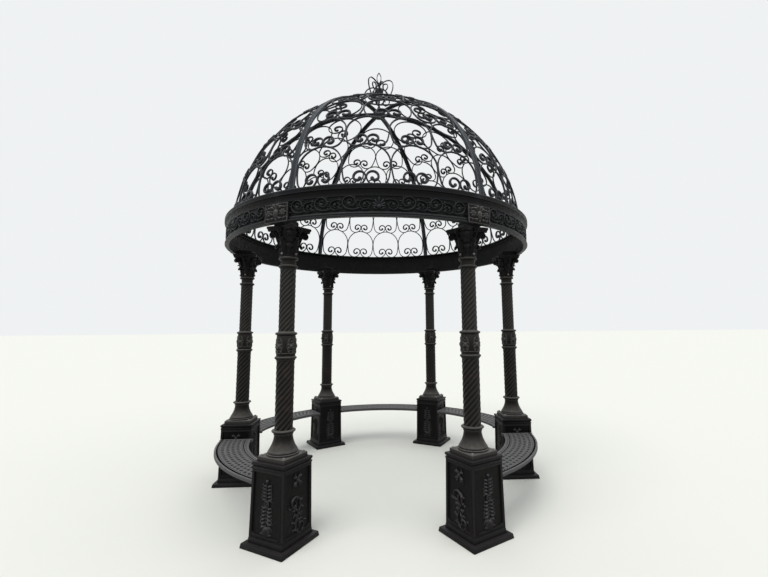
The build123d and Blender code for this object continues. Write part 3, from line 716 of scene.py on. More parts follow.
def acanthus(height, width, reach, foot_radius, lean):
    """A standing leaf with a notched edge, a mid rib and a tip that curls outwards and down."""
    bm = bmesh.new()
    bmesh.ops.create_grid(bm, x_segments=8, y_segments=14, size=1)
    for v in bm.verts:
        t, s = (v.co.y + 1) / 2, v.co.x
        notch = 1 - NOTCH_SHARE * abs(sin(LEAF_NOTCHES * pi * t))
        share = LEAF_FOOT_SHARE + LEAF_WIDENS * t - LEAF_NARROWS * max(0, t - LEAF_NARROWS_FROM)
        curl = max(0, (t - CURL_FROM) / (1 - CURL_FROM))
        rib = LEAF_RIB * (1 - abs(s)) ** 2 * (1 - curl)
        out = foot_radius + lean * t + reach * curl ** CURL_OUT + rib - LEAF_EDGE_BACK * abs(s)
        up = height * (t - CURL_FALL * curl ** CURL_FALL_BEND)
        v.co = Vector((out, s * width / 2 * share * notch, up))
    bmesh.ops.solidify(bm, geom=bm.faces[:], thickness=LEAF_THICKNESS)
    return finished_mesh(bm, "acanthus")


def volute():
    """A corner scroll: a thick round roll with a raised spiral and an eye on both of its sides."""
    bm = bmesh.new()
    r = VOLUTE_RADIUS
    arcs = (
        (r - 0.003, 180, 12, 0.92), (0.72 * r, 180, 10, 0.88),
        (0.50 * r, 180, 8, 0.84), (0.32 * r, 170, 6, 0.80),
    )
    thick, flat, wide = 0.004, 0.019, 0.023
    section = [(-thick, -flat), (-thick, flat), (-thick / 2, wide), (thick / 2, wide),
               (thick, flat), (thick, -flat), (thick / 2, -wide), (-thick / 2, -wide)]
    add(bm, flat_scroll((0, r - 0.005), 180, arcs, section))
    add(bm, knob(r - 0.004, 0.017, 16))
    add(bm, knob(0.008, 0.024, 8), at(0.002, 0.001))
    return finished_mesh(bm, "volute")


ARM_HALF, ARM_RIM, ARM_SINK = 0.021, 0.006, 0.004


def volute_arm():
    """Web in the XZ plane that carries a corner scroll out of the leaves, with sunk sides."""
    bm = bmesh.new()
    root, top = 0.060, ABACUS_FOOT + 0.0015
    outline = (
        (root, 2.282), (0.088, 2.298), (0.100, 2.324), (0.107, 2.346),
        (0.120, 2.366), (0.150, top), (root, top),
    )
    verts = [bm.verts.new((x, -ARM_HALF, z)) for x, z in outline]
    face = bm.faces.new(verts)
    made = bmesh.ops.extrude_face_region(bm, geom=[face])["geom"]
    bmesh.ops.translate(bm, verts=corners_of(made), vec=(0, 2 * ARM_HALF, 0))
    bmesh.ops.recalc_face_normals(bm, faces=bm.faces)
    sides = [f for f in bm.faces if abs(f.normal.y) > 0.9]
    bmesh.ops.inset_individual(bm, faces=sides, thickness=ARM_RIM, depth=0)
    bmesh.ops.inset_individual(bm, faces=sides, thickness=0.002, depth=-ARM_SINK)
    return finished_mesh(bm, "volute_arm")


def rose(radius, petals, height):
    """A flower of round petals."""
    bm = bmesh.new()
    petal = knob(1, 1, 8)
    petal_shape = Matrix.Diagonal((0.42 * radius, 0.30 * radius, height, 1))
    for k in range(petals):
        add(bm, petal, spun(k * FULL / petals) @ shift(0.58 * radius, 0, 0) @ petal_shape)
    add(bm, petal, Matrix.Diagonal((0.26 * radius, 0.26 * radius, 1.3 * height, 1)))
    return finished_mesh(bm, "rose")


OVAL_BOSS = (0.026, 0.036, 0.020)
ROSETTE, ROSETTE_OUT = 0.030, 0.076
PLAQUE_LEAVES = (
    (0.006, 0.034, 82, 0.95, broad_leaf), (0.020, 0.030, 55, 0.90, broad_leaf),
    (0.026, 0.012, 20, 0.80, soft_leaf), (0.026, -0.010, -18, 0.80, upturned_leaf),
    (0.018, -0.034, -50, 0.95, upturned_leaf), (0.006, -0.040, -82, 0.70, soft_leaf),
    (0.062, 0.040, 35, 0.80, soft_leaf), (0.062, -0.044, -25, 0.85, upturned_leaf),
    (0.096, 0.036, 60, 0.60, soft_leaf), (0.098, -0.034, -60, 0.60, upturned_leaf),
)


def plaque_ornament():
    """Oval boss crowned and flanked by leaves, with a rosette on either side of it."""
    bm = bmesh.new()
    add(bm, knob(1, 1, 14), shift(0, -0.004, 0) @ Matrix.Diagonal((*OVAL_BOSS, 1)))
    add(bm, knob(0.011, 0.024, 8), at(0, -0.010))
    both(bm, pearl, 0.010, 0.006)
    spray(bm, PLAQUE_LEAVES, paired=True)
    both(bm, rose(ROSETTE, 6, 0.017), ROSETTE_OUT, 0.000)
    return finished_mesh(bm, "plaque_ornament")


ABACUS_EDGE = ((0, 0.008), (0.012, 0.007), (0.022, 0.002), (0.025, 0.0), (0.038, 0.0), (0.040, 0.002))


def abacus():
    """Square plate with hollow sides, a square edge above and a small cove below."""
    bm = bmesh.new()
    loops = []
    for up, inset in ABACUS_EDGE:
        half = ABACUS_HALF - inset
        corners = []
        for side in range(4):
            for s in (i / 6 - 1 for i in range(12)):
                hollow = ABACUS_HOLLOW * max(0, 1 - (s / ABACUS_HOLLOW_SHARE) ** 2)
                corners.append(spun(side * pi / 2) @ Vector((half - hollow, s * half, ABACUS_FOOT + up)))
        loops.append([g for g in loop_of(bm, corners) if isinstance(g, bmesh.types.BMEdge)])
    for low, high in zip(loops, loops[1:]):
        bmesh.ops.bridge_loops(bm, edges=low + high)
    close_ends(bm)
    return finished_mesh(bm, "abacus")


def arc_plate(bm, outline, half_width):
    """A plate round the dome's axis, as wide to either side as asked on the plaque's face."""
    swept_band(bm, outline, 2 * half_width / PLAQUE_FACE, 12)
    close_ends(bm)


BLOCK_HEIGHT, BEARING_HALF, FLANGE_HEIGHT, BEAM_GAP = 0.005, 0.050, 0.014, 0.0003


def beam_seat():
    """Plate under the ring beam over a column, with the plaque before the beam and the block behind it."""
    plate = bmesh.new()
    face, top, foot, cut = PLAQUE_FACE, PLAQUE_TOP, ABACUS_TOP + BLOCK_HEIGHT, 0.003
    back = COLUMN_CIRCLE - SUPPORT_BACK
    arc_plate(plate, (
        (back, foot), (face - 0.002, foot), (face, foot + 0.002), (face, RING_FOOT), (back, RING_FOOT),
    ), BEARING_HALF)
    flange, moulding, frieze = RING_FLANGE + BEAM_GAP, RING_MOULDING + BEAM_GAP, RING_FRIEZE + BEAM_GAP
    flange_top, moulding_top = RING_FOOT + FLANGE_HEIGHT + BEAM_GAP, FRIEZE_FOOT + BEAM_GAP
    arc_plate(plate, (
        (flange, RING_FOOT), (face - cut, RING_FOOT), (face, RING_FOOT + cut), (face, top - 0.004),
        (face - 0.004, top), (frieze, top), (frieze, moulding_top), (moulding, moulding_top),
        (moulding, flange_top), (flange, flange_top),
    ), PLAQUE_HALF)
    return finished_mesh(plate, "beam_seat")


PLAQUE_RIM_SIDE, PLAQUE_RIM_END = 0.116, 0.074


def plaque_relief():
    """Rim and ornament on the face of the plaque over a column."""
    face = bmesh.new()
    add(face, plaque_ornament())
    side, end = PLAQUE_RIM_SIDE, PLAQUE_RIM_END
    for x0, y0, x1, y1 in (
        (-side, -end, -side, end), (side, -end, side, end),
        (-side, end, side, end), (-side, -end, side, -end),
    ):
        straight(face, x0, y0, x1, y1, 0.009, 0.006)
    middle = (RING_FOOT + PLAQUE_TOP) / 2
    return wrapped(finished_mesh(face, "plaque_face"), PLAQUE_FACE - 0.0005, middle, "plaque_relief")


def inner_flower():
    """Flower on the inner end of the block over a capital."""
    bm = bmesh.new()
    add(bm, rose(0.024, 6, 0.011))
    leaves = ((0.018, 0.006, 30, 0.75, soft_leaf), (0.018, -0.008, -25, 0.75, upturned_leaf))
    spray(bm, leaves, paired=True)
    return finished_mesh(bm, "inner_flower")


def boxes(bm, sizes, bevel):
    """Square-cut blocks, each given as its ends along X, its half width and its foot and top."""
    for x0, x1, half, bottom, top in sizes:
        verts = bmesh.ops.create_cube(bm, size=1)["verts"]
        for v in verts:
            v.co = Vector((x0 if v.co.x < 0 else x1, v.co.y * 2 * half, bottom if v.co.z < 0 else top))
        edges = list({e for v in verts for e in v.link_edges})
        bmesh.ops.bevel(bm, geom=edges, offset=bevel, segments=1, profile=0.5, affect="EDGES", material=-1)


# Bell under the leaves, the leaves, and the block and stop under the beam
CORE, CORE_FLARE, CORE_WAIST, CORE_STEPS = 0.068, 0.038, 2.252, 7
LOW_LEAVES, LEAF_FOOT, LEAF_TIP_OUT, LEAF_TIP_UP = 8, 0.066, 0.097, 2.278
BLOCK_FRONT, STOP_FRONT, STOP_HEIGHT, INNER_FLOWER_UP = 0.110, 0.1105, 0.045, 2.471


def capital():
    """Leaves round a bell, corner scrolls, an abacus with flowers, and what carries the beam."""
    bm = bmesh.new()
    line = [(0, COLUMN_TOP - 0.004), (0.070, COLUMN_TOP - 0.004), (0.072, COLUMN_TOP + 0.003),
            (CORE, COLUMN_TOP + 0.014)]
    for i in range(CORE_STEPS + 1):
        rise = i / CORE_STEPS
        line.append((CORE + CORE_FLARE * rise ** 1.5, CORE_WAIST + (ABACUS_FOOT - CORE_WAIST) * rise))
    line += [(0, ABACUS_FOOT + 0.001)]
    lathe(bm, line, 40)
    low = acanthus(0.098, 0.052, 0.016, LEAF_FOOT, 0.004)
    tall = acanthus(0.156, 0.074, 0.026, LEAF_FOOT, 0.026)
    corner = acanthus(0.108, 0.078, 0.034, LEAF_FOOT, 0.010)
    for k in range(LOW_LEAVES):
        add(bm, low, spun((k + 0.5) * FULL / LOW_LEAVES) @ shift(0, 0, COLUMN_TOP + 0.006))
    curl, arm, tip = volute(), volute_arm(), knob(0.024, 0.012, 12)
    face_out = Matrix.Rotation(pi / 2, 4, "Y")
    stand = Matrix.Rotation(pi / 2, 4, "X")
    droop = Matrix.Rotation(radians(62), 4, "Y")
    for k in range(4):
        side = spun(k * FULL / 4)
        add(bm, tall, side @ shift(0, 0, COLUMN_TOP + 0.012))
        add(bm, rose(0.030, 6, 0.016), side @ shift(0.108, 0, ABACUS_FOOT + 0.006) @ face_out)
        add(bm, rose(0.017, 5, 0.012), side @ shift(0.100, 0, ABACUS_FOOT - 0.034) @ face_out)
        quarter = side @ spun(pi / 4)
        add(bm, corner, quarter @ shift(0, 0, COLUMN_TOP + 0.010))
        add(bm, tip, quarter @ shift(LEAF_TIP_OUT, 0, LEAF_TIP_UP) @ droop)
        add(bm, arm, quarter)
        add(bm, curl, quarter @ shift(VOLUTE_OUT, 0, VOLUTE_UP) @ stand)
    add(bm, abacus())
    boxes(bm, (
        (-SUPPORT_BACK, BLOCK_FRONT, SUPPORT_HALF, ABACUS_TOP - 0.001, ABACUS_TOP + BLOCK_HEIGHT + 0.001),
        (-SUPPORT_BACK, STOP_FRONT, SUPPORT_HALF, ABACUS_TOP - 0.001, RING_FOOT + STOP_HEIGHT),
    ), 0.002)
    add(bm, inner_flower(), shift(-SUPPORT_BACK, 0, INNER_FLOWER_UP) @ spun(pi) @ FACE_OUT)
    add(bm, beam_seat(), shift(-COLUMN_CIRCLE, 0, 0))
    return finished_mesh(bm, "capital")


# Ring beam
FRIEZE_ARCS = ((0.115, 48, 5, 1.0), (0.045, 235, 16, 0.95), (0.027, 210, 13, 0.85), (0.014, 150, 8, 0.8))
FRIEZE_SCROLLS = ((0.112, 0.86), (0.234, 1.12), (0.344, 0.84), (0.458, 1.12), (0.568, 0.84), (0.668, 1.08))
FRIEZE_LEAVES = (
    (-0.050, -0.010, 115, 0.85, soft_leaf), (0.044, -0.028, -20, 0.85, upturned_leaf),
    (0.048, 0.012, 40, 0.80, soft_leaf), (-0.034, 0.036, 135, 0.75, soft_leaf),
    (0.020, 0.010, 60, 0.60, soft_leaf), (-0.016, -0.012, 220, 0.60, soft_leaf),
)


def frieze_ornament():
    """Relief of half a bay's frieze, from the middle of the bay: scrolls that turn by turns up and down."""
    bm = bmesh.new()
    spiral = flat_scroll((-0.078, -0.030), -25, FRIEZE_ARCS, relief_section(0.0125, 0.014))
    for k, (x, size) in enumerate(FRIEZE_SCROLLS):
        here = shift(x, 0, 0) @ Matrix.Diagonal((size, size if k % 2 else -size, 1, 1))
        add(bm, spiral, here)
        add(bm, boss, here @ at(-0.002, 0.003))
        spray(bm, FRIEZE_LEAVES, here)
        add(bm, pearl, here @ at(0.064, 0.036))
    return finished_mesh(bm, "frieze_ornament")


def palmette():
    """Fan of petals in the middle of a bay's frieze; its top petal reaches over the cove's foot."""
    bm = bmesh.new()
    petal = knob(1, 1, 8)
    for angle, size in ((90, 1.5), (60, 1.3), (33, 1.1), (8, 0.9)):
        for mirrored in ((False,) if angle == 90 else (False, True)):
            place = at(0, -0.024, 0, 1.0, mirrored) @ spun(radians(angle)) @ shift(0.032 * size, 0, 0)
            add(bm, petal, place @ Matrix.Diagonal((0.027 * size, 0.0095, 0.014, 1)))
    add(bm, boss, at(0, -0.024, size=1.3))
    both(bm, upturned_leaf, 0.010, -0.042, -12, 0.95)
    return finished_mesh(bm, "palmette")


RING_STEPS, SHELF_FILLET = 30, 0.008
COVE_OUT, COVE_UP, COVE_STEPS = 0.022, 0.044, 7
# Bolt heads inside: radius, angle from the segment's end, and distance over and under the middle of the web
JOINT_BOLT, JOINT_BOLT_TURN, JOINT_BOLT_UP = 0.010, 0.045, 0.066


def ring_beam():
    """One bay's beam: flange, moulding, frieze with relief, cove, lip, and a shelf for the ribs."""
    bm = bmesh.new()
    inner, flange, moulding, frieze, lip = RING_INNER, RING_FLANGE, RING_MOULDING, RING_FRIEZE, RING_LIP
    shelf, shelf_foot, foot, top = RING_SHELF, RING_SHELF_FOOT, RING_FOOT, RING_TOP
    outline = [
        (shelf, top - 0.003), (shelf, shelf_foot + 0.003), (shelf + 0.003, shelf_foot),
        (inner - SHELF_FILLET, shelf_foot), (inner, shelf_foot - SHELF_FILLET),
        (inner, foot + 0.004), (inner + 0.004, foot), (flange - 0.004, foot),
        (flange, foot + 0.004), (flange, foot + 0.011), (flange - 0.003, foot + FLANGE_HEIGHT),
        (moulding, foot + FLANGE_HEIGHT), (moulding + 0.001, foot + 0.022), (moulding, foot + 0.030),
        (moulding - 0.004, foot + 0.036), (frieze + 0.004, FRIEZE_FOOT), (frieze, FRIEZE_FOOT + 0.002),
        (frieze, FRIEZE_TOP - 0.002), (frieze + 0.006, FRIEZE_TOP), (frieze + 0.007, FRIEZE_TOP + 0.006),
    ]
    for i in range(1, COVE_STEPS + 1):
        turn = pi / 2 * i / COVE_STEPS
        out, up = COVE_OUT * (1 - cos(turn)), COVE_UP * sin(turn)
        outline.append((frieze + 0.004 + out, FRIEZE_TOP + 0.008 + up))
    outline += [
        (lip - 0.001, COVE_TOP + 0.001), (lip, COVE_TOP + 0.007), (lip - 0.002, COVE_TOP + 0.024),
        (lip, COVE_TOP + 0.031), (lip - 0.001, top - 0.004), (lip - 0.005, top), (shelf + 0.003, top),
    ]
    swept_band(bm, outline, 2 * BAY_HALF, RING_STEPS)
    close_ends(bm)
    half = frieze_ornament()
    flat = bmesh.new()
    add(flat, half)
    add(flat, half, Matrix.Diagonal((-1, 1, 1, 1)))
    add(flat, palmette())
    bmesh.ops.recalc_face_normals(flat, faces=flat.faces)
    middle = (FRIEZE_FOOT + FRIEZE_TOP) / 2
    add(bm, wrapped(finished_mesh(flat, "frieze_relief"), frieze, middle, "frieze_round"))
    # Two bolt heads inside at each end
    for end in (-1, 1):
        turn = spun(end * (BAY_HALF - JOINT_BOLT_TURN))
        for up in (-JOINT_BOLT_UP, JOINT_BOLT_UP):
            add(bm, knob(JOINT_BOLT, JOINT_BOLT, 8), turn @ shift(inner, 0, (foot + top) / 2 + up))
    return finished_mesh(bm, "ring_beam")


# Seats
def bay_trim(bm, offset):
    """Cuts a bay's work off along the two pedestals or ribs beside it and closes the cuts."""
    for side in (-1, 1):
        normal = Vector((-sin(BAY_HALF), side * cos(BAY_HALF), 0))
        bmesh.ops.bisect_plane(bm, geom=bm.verts[:] + bm.edges[:] + bm.faces[:], dist=1e-7,
                               plane_co=-normal * offset, plane_no=normal, clear_outer=True)
        close_ends(bm)


SEAT_STEPS = 30
# Rows of slots in a seat: middle, width, number in a bay, and half the slat between two slots at its middle
SEAT_ROWS = (
    (0.097, 0.024, 27, 0.0115), (0.142, 0.024, 27, 0.0115), (0.187, 0.024, 27, 0.0120),
    (0.233, 0.024, 27, 0.0125), (0.265, 0.010, 46, 0.0120),
)
# Grooves along a seat's bands: middle from the inner edge or in from the outer edge, width and depth
INNER_GROOVES = ((0.026, 0.006, 0.002), (0.047, 0.009, 0.014), (0.062, 0.005, 0.002))
OUTER_GROOVES = ((0.020, 0.005, 0.0015), (0.030, 0.004, 0.0015))
APRON_WIDTH, APRON_DROP = 0.012, 0.014
SLAT_SINK, SLAT_SPREAD, SLAT_WAIST = 0.0012, 0.006, 0.3
SLOT_SHIFTS = (0.25, 0.75)
SEAT_END_WIDTH, SEAT_END_LENGTH = 0.026, 0.335


def flat_arc(bm, low, high, grooves=()):
    """An arc of a seat between two distances from its inner edge, with grooves along its top."""
    top, under = SEAT_TOP, SEAT_UNDER
    points = [(low, under), (low, top - 0.004), (low + 0.002, top - 0.001), (low + 0.004, top)]
    for middle, width, depth in grooves:
        half = width / 2
        points += [(middle - half, top), (middle - 0.6 * half, top - depth),
                   (middle + 0.6 * half, top - depth), (middle + half, top)]
    points += [(high - 0.004, top), (high - 0.002, top - 0.001), (high, top - 0.004), (high, under)]
    swept_band(bm, [(SEAT_INNER + x, z) for x, z in points], 2 * BAY_HALF, SEAT_STEPS)


def seat_slat(width, half):
    """A cast slat between two slots, narrow at its middle."""
    bm = bmesh.new()
    drop = SEAT_TOP - SEAT_UNDER
    reach = width / 2 + 0.001
    waist, end = SLAT_WAIST * reach, half + SLAT_SPREAD
    outline = ((-reach, -end), (-waist, -half), (waist, -half), (reach, -end),
               (reach, end), (waist, half), (-waist, half), (-reach, end))
    face = bm.faces.new([bm.verts.new((x, y, -drop)) for x, y in outline])
    made = bmesh.ops.extrude_face_region(bm, geom=[face])["geom"]
    bmesh.ops.translate(bm, verts=corners_of(made), vec=(0, 0, drop - SLAT_SINK))
    return finished_mesh(bm, "slat")


def bench_seat():
    """Seat of one bay: two light bands and arcs, with rows of slots set by turns between them."""
    bm = bmesh.new()
    top, under, outer = SEAT_TOP, SEAT_UNDER, SEAT_OUTER - SEAT_INNER
    ends = [0.0]
    for middle, width, _, _ in SEAT_ROWS:
        ends += [middle - width / 2, middle + width / 2]
    ends.append(outer)
    flat_arc(bm, ends[0], ends[1], INNER_GROOVES)
    for low, high in zip(ends[2:-2:2], ends[3:-2:2]):
        flat_arc(bm, low, high)
    flat_arc(bm, ends[-2], ends[-1],
             [(outer - inwards, width, depth) for inwards, width, depth in OUTER_GROOVES])
    for low in (SEAT_BAND - APRON_WIDTH, outer - SEAT_BAND):
        corners = ((0, -APRON_DROP), (0, 0.001), (APRON_WIDTH, 0.001), (APRON_WIDTH, -APRON_DROP))
        apron = [(SEAT_INNER + low + x, under + z) for x, z in corners]
        swept_band(bm, apron, 2 * BAY_HALF, SEAT_STEPS)
    for row, (out, width, count, half) in enumerate(SEAT_ROWS):
        slat_mesh = seat_slat(width, half)
        middle = SEAT_INNER + out
        step = 2 * BAY_HALF / count
        for k in range(count):
            angle = -BAY_HALF + (k + SLOT_SHIFTS[row % 2]) * step
            if abs(middle * sin(BAY_HALF - abs(angle))) > BOX_TOP_HALF - 0.02:
                add(bm, slat_mesh, spun(angle) @ shift(middle, 0, top))
    clear = BOX_FOOT_HALF - 0.003
    inner_x = SEAT_INNER * cos(asin(clear / SEAT_INNER))
    for side in (-1, 1):
        verts = bmesh.ops.create_cube(bm, size=1)["verts"]
        for v in verts:
            height = top - 0.001 if v.co.z > 0 else under
            v.co = Vector((SEAT_END_LENGTH * (v.co.x + 0.5), SEAT_END_WIDTH * (v.co.y + 0.5), height))
        half = SEAT_END_WIDTH / 2
        place = spun(side * BAY_HALF) @ shift(inner_x - 0.02, -side * (clear + half) - half, 0)
        bmesh.ops.transform(bm, matrix=place, verts=verts)
    bay_trim(bm, BOX_FOOT_HALF - 0.0035)
    return finished_mesh(bm, "bench_seat")


# Dome
def direction(azimuth, latitude):
    """Unit direction from the dome's middle."""
    return Vector((cos(latitude) * cos(azimuth), cos(latitude) * sin(azimuth), sin(latitude)))


def dome_scroll(latitude, radius, sense, arcs, section, eye):
    """A bar on the dome's sphere along arcs: ratio to the last radius, sweep in degrees, steps, swell."""
    bm = bmesh.new()
    axis, toward = direction(0, latitude), direction(0, latitude + pi / 2)
    point = axis * cos(radius) + toward * sin(radius)
    inward = axis * sin(radius) - toward * cos(radius)
    ring = loop_of(bm, [DOME_MIDDLE + point * (BAR_OUTER + z) + inward * s for s, z in section])
    for ratio, sweep, steps, swell in arcs:
        radius *= ratio
        axis = point * cos(radius) + inward * sin(radius)
        angle = sense * radians(sweep)
        ring = carry(bm, ring, DOME_MIDDLE, axis, angle, steps, swell,
                     DOME_MIDDLE + point * (BAR_OUTER - BAR_DEPTH / 2))
        turn = Matrix.Rotation(angle, 3, axis)
        point, inward = turn @ point, turn @ inward
    close_ends(bm)
    tip = DOME_MIDDLE + point * (BAR_OUTER - BAR_DEPTH / 2) + inward * 0.004
    rest = Matrix.Translation(tip) @ point.to_track_quat("Z", "Y").to_matrix().to_4x4()
    add(bm, eye, rest)
    return finished_mesh(bm, "dome_scroll")


# Tiers of a panel from the ring up: number of cells, latitude of their middles, sweep of their sides
PANEL_TIERS = (
    (4, 11.4, 12.7), (4, 24.6, 12.4), (3, 36.7, 17.2),
    (3, 49.4, 14.6), (2, 60.8, 13.4), (1, 71.8, 24.0),
)
SIDE_SQUEEZE, LOBE_CLEAR = 0.075, 0.008
BAR_EDGE, EYE_RADIUS, EYE_HEIGHT = 0.0025, 0.0165, 0.0125
RIB_ROOM, CELL_LAP = radians(2.0), radians(0.08)


def dome_panel():
    """One bay's lattice: tiers of cells, each of two mirrored scrolls under one arch."""
    bm = bmesh.new()
    section = rounded_section(BAR_WIDTH, BAR_DEPTH, BAR_EDGE)
    eye = knob(EYE_RADIUS, EYE_HEIGHT, 10)
    for cells, latitude, side_sweep in PANEL_TIERS:
        narrow = cos(radians(latitude))
        pitch = (2 * BAY_HALF - RIB_ROOM / narrow) / cells
        radius = asin(narrow * sin(pitch / 2)) - CELL_LAP
        side = SIDE_SQUEEZE / (1 - cos(radians(side_sweep)))
        lobe = (1 - SIDE_SQUEEZE - LOBE_CLEAR) / (1 + cos(radians(side_sweep)))
        arcs = (
            (1, 90, 9, 1), (side, side_sweep, 3, 1), (lobe / side, 90 - side_sweep, 7, 1),
            (1, 76, 7, 1.12), (0.53, 195, 13, 1.42), (0.60, 150, 9, 1.08),
        )
        halves = [dome_scroll(radians(latitude), radius, sense, arcs, section, eye) for sense in (1, -1)]
        for k in range(cells):
            for half in halves:
                add(bm, half, spun((k - (cells - 1) / 2) * pitch))
    bmesh.ops.bisect_plane(bm, geom=bm.verts[:] + bm.edges[:] + bm.faces[:], dist=1e-7,
                           plane_co=(0, 0, RING_TOP), plane_no=(0, 0, -1), clear_outer=True)
    close_ends(bm)
    bay_trim(bm, RIB_WIDTH / 2 - 0.002)
    return finished_mesh(bm, "dome_panel")


def dome_rib():
    """A curved bar from the ring to the hub: a face with two raised edges, and a web inside."""
    bm = bmesh.new()
    w, d = RIB_WIDTH / 2, RIB_DEPTH
    edge, lip, fall, plate, web = 0.004, 0.013, 0.002, 0.012, 0.008
    half = [
        (w - lip - fall, -fall), (w - lip, 0), (w - edge, 0), (w, -edge), (w, -plate),
        (w - 0.006, -0.014), (web, -0.016), (web, 0.003 - d), (0.005, -d),
    ]
    section = [(-x, z) for x, z in reversed(half[:4])] + half + [(-x, z) for x, z in reversed(half[4:])]
    low = asin((RING_TOP - DOME_MIDDLE.z) / RIB_OUTER) - 0.002
    high = radians(90) - asin(HUB_RADIUS / RIB_OUTER) + 0.004
    foot = direction(0, low)
    ring = loop_of(bm, [DOME_MIDDLE + foot * (RIB_OUTER + z) + Vector((0, s, 0)) for s, z in section])
    bmesh.ops.spin(bm, geom=ring, cent=DOME_MIDDLE, axis=(0, -1, 0), angle=high - low, steps=36)
    close_ends(bm)
    return finished_mesh(bm, "dome_rib")


HUB_DEPTH, HUB_RING, HUB_PETALS, PETAL_OUT, PETAL_SIZE = 0.038, 0.046, 12, 0.040, 0.45


def crown_hub():
    """Disc that the ribs run into, with a rosette of petals on top and a boss under it."""
    bm = bmesh.new()
    z, rim = CROWN, HUB_RADIUS
    line = [(0, z - HUB_DEPTH), (rim - 0.020, z - HUB_DEPTH), (rim - 0.002, z - 0.030)]
    line += [(rim, z - 0.024), (rim, z), (rim - 0.003, z + 0.006), (rim - 0.010, z + 0.008)]
    line += bead(HUB_RING, z + 0.008, z + 0.020, 0.004)
    line += [(0.036, z + 0.024), (0.022, FINIAL_FOOT), (0, FINIAL_FOOT)]
    lathe(bm, line, 40)
    petal = comma_leaf(0.045, 0.012, 0.30, 18)
    for k in range(HUB_PETALS):
        place = shift(0, 0, z + 0.006) @ spun(k * FULL / HUB_PETALS) @ shift(PETAL_OUT, 0, 0)
        add(bm, petal, place @ Matrix.Scale(PETAL_SIZE, 4))
    add(bm, knob(0.040, 0.012, 16), shift(0, 0, z - 0.028))
    return finished_mesh(bm, "crown_hub")


# The finial's scrolls: start from its foot, heading in degrees, and arcs. Tall, inner, low, curl and top
FINIAL_SCROLLS = (
    ((-0.006, 0.286), 90, (
        (-0.100, 28, 4, 1), (-0.127, 62, 8, 1), (-0.050, 40, 5, 1), (-0.078, 50, 6, 1),
        (-0.240, 35, 6, 1), (-0.032, 120, 9, 0.95), (-0.020, 150, 9, 0.9))),
    ((0.018, 0.092), 25, (
        (0.130, 70, 8, 1), (0.090, 27, 4, 1), (-0.350, 10, 2, 1),
        (-0.031, 200, 16, 1), (-0.060, 45, 4, 1), (-0.100, 12, 2, 1))),
    ((0.000, 0.232), 90, (
        (-0.120, 15, 3, 1), (-0.092, 75, 8, 1), (-0.095, 90, 9, 1),
        (-0.120, 62, 7, 1), (-0.034, 150, 10, 0.95), (-0.020, 120, 7, 0.9))),
    ((0.008, 0.150), 60, ((0.300, 18, 3, 1), (-0.034, 230, 16, 1), (-0.021, 170, 10, 0.95))),
    ((0, 0.374), 50, ((0.110, 80, 9, 0.9),)),
)
FINIAL_STEM = (
    (0, -0.002), (0.030, -0.002), (0.032, 0.006), (0.020, 0.020), (0.014, 0.036),
    (0.022, 0.050), (0.013, 0.064), (0.009, 0.110), (0.013, 0.130), (0.009, 0.150),
    (0.006, 0.290), (0.006, 0.330), (0.007, 0.352), (0.010, 0.372), (0, 0.382),
)


def finial():
    """Tall and low loops by turns round a stem, with curls inside and a narrow leaf-shaped loop on top."""
    bm = bmesh.new()
    stand = Matrix.Rotation(pi / 2, 4, "X")
    thick, flat, wide = 0.0042, 0.007, 0.009
    strap = [(-thick, -flat), (-thick, flat), (0, wide), (thick, flat), (thick, -flat), (0, -wide)]
    tall, inner, low, curl, top = (
        flat_scroll(start, heading, arcs, strap) for start, heading, arcs in FINIAL_SCROLLS)
    for k in range(3):
        third = spun(k * FULL / 3 + FINIAL_TURN)
        between = third @ spun(pi / 3)
        for scroll, place in ((tall, third), (inner, third), (low, between), (curl, between)):
            add(bm, scroll, place @ stand)
    for half_turn in (0, pi):
        add(bm, top, spun(half_turn) @ stand)
    lathe(bm, FINIAL_STEM, 16)
    mesh = finished_mesh(bm, "finial")
    mesh.transform(shift(0, 0, FINIAL_FOOT))
    return mesh


# The pieces in their places
pedestal_mesh, column_mesh, capital_mesh, rib_mesh = pedestal(), column(), capital(), dome_rib()
bolt_mesh, plaque_relief_mesh, panel_relief_mesh = foot_bolts(), plaque_relief(), panel_relief()
for name, degrees_round in COLUMNS.items():
    turn = spun(radians(degrees_round))
    place = turn @ shift(COLUMN_CIRCLE, 0, 0)
    piece(f"pedestal_casting_{name}", pedestal_mesh, cast_paint, [f"pedestal_{name}"],
          place)
    piece(f"panel_relief_{name}", panel_relief_mesh, relief_dust_and_highlight, [], place)
    piece(f"column_casting_{name}", column_mesh, shaft_paint, [f"column_{name}"], place)
    # Pale bolt heads and balls stand in partly for painted glints
    piece(f"foot_bolts_{name}", bolt_mesh, bolt_metal_and_painted_glint, [], place)
    piece(f"capital_casting_{name}", capital_mesh, cast_paint, [f"capital_{name}"], place)
    piece(f"plaque_relief_{name}", plaque_relief_mesh, plaque_dust_and_painted_light, [], turn)
    # Ribs carry a painted sky reflection in their pale paint
    piece(f"rib_bar_{name}", rib_mesh, rib_paint_painted_skylight, [f"dome_rib_{name}"],
          spun(radians(degrees_round) + DOME_TURN))
beam_mesh, panel_mesh, seat_mesh = ring_beam(), dome_panel(), bench_seat()
for name, degrees_round in BAYS.items():
    piece(f"beam_casting_{name}", beam_mesh, beam_paint, [f"ring_beam_{name}"],
          spun(radians(degrees_round)))
    piece(f"scrollwork_{name}", panel_mesh, bar_paint, [f"dome_panel_{name}"],
          spun(radians(degrees_round) + DOME_TURN))
for name in SEAT_BAYS:
    piece(f"seat_casting_{name}", seat_mesh, seat_paint, [f"bench_seat_{name}"],
          spun(radians(BAYS[name])))
piece("hub_casting", crown_hub(), bar_paint, ["crown_hub"])
piece("finial_scrolls", finial(), bar_paint, ["finial"])


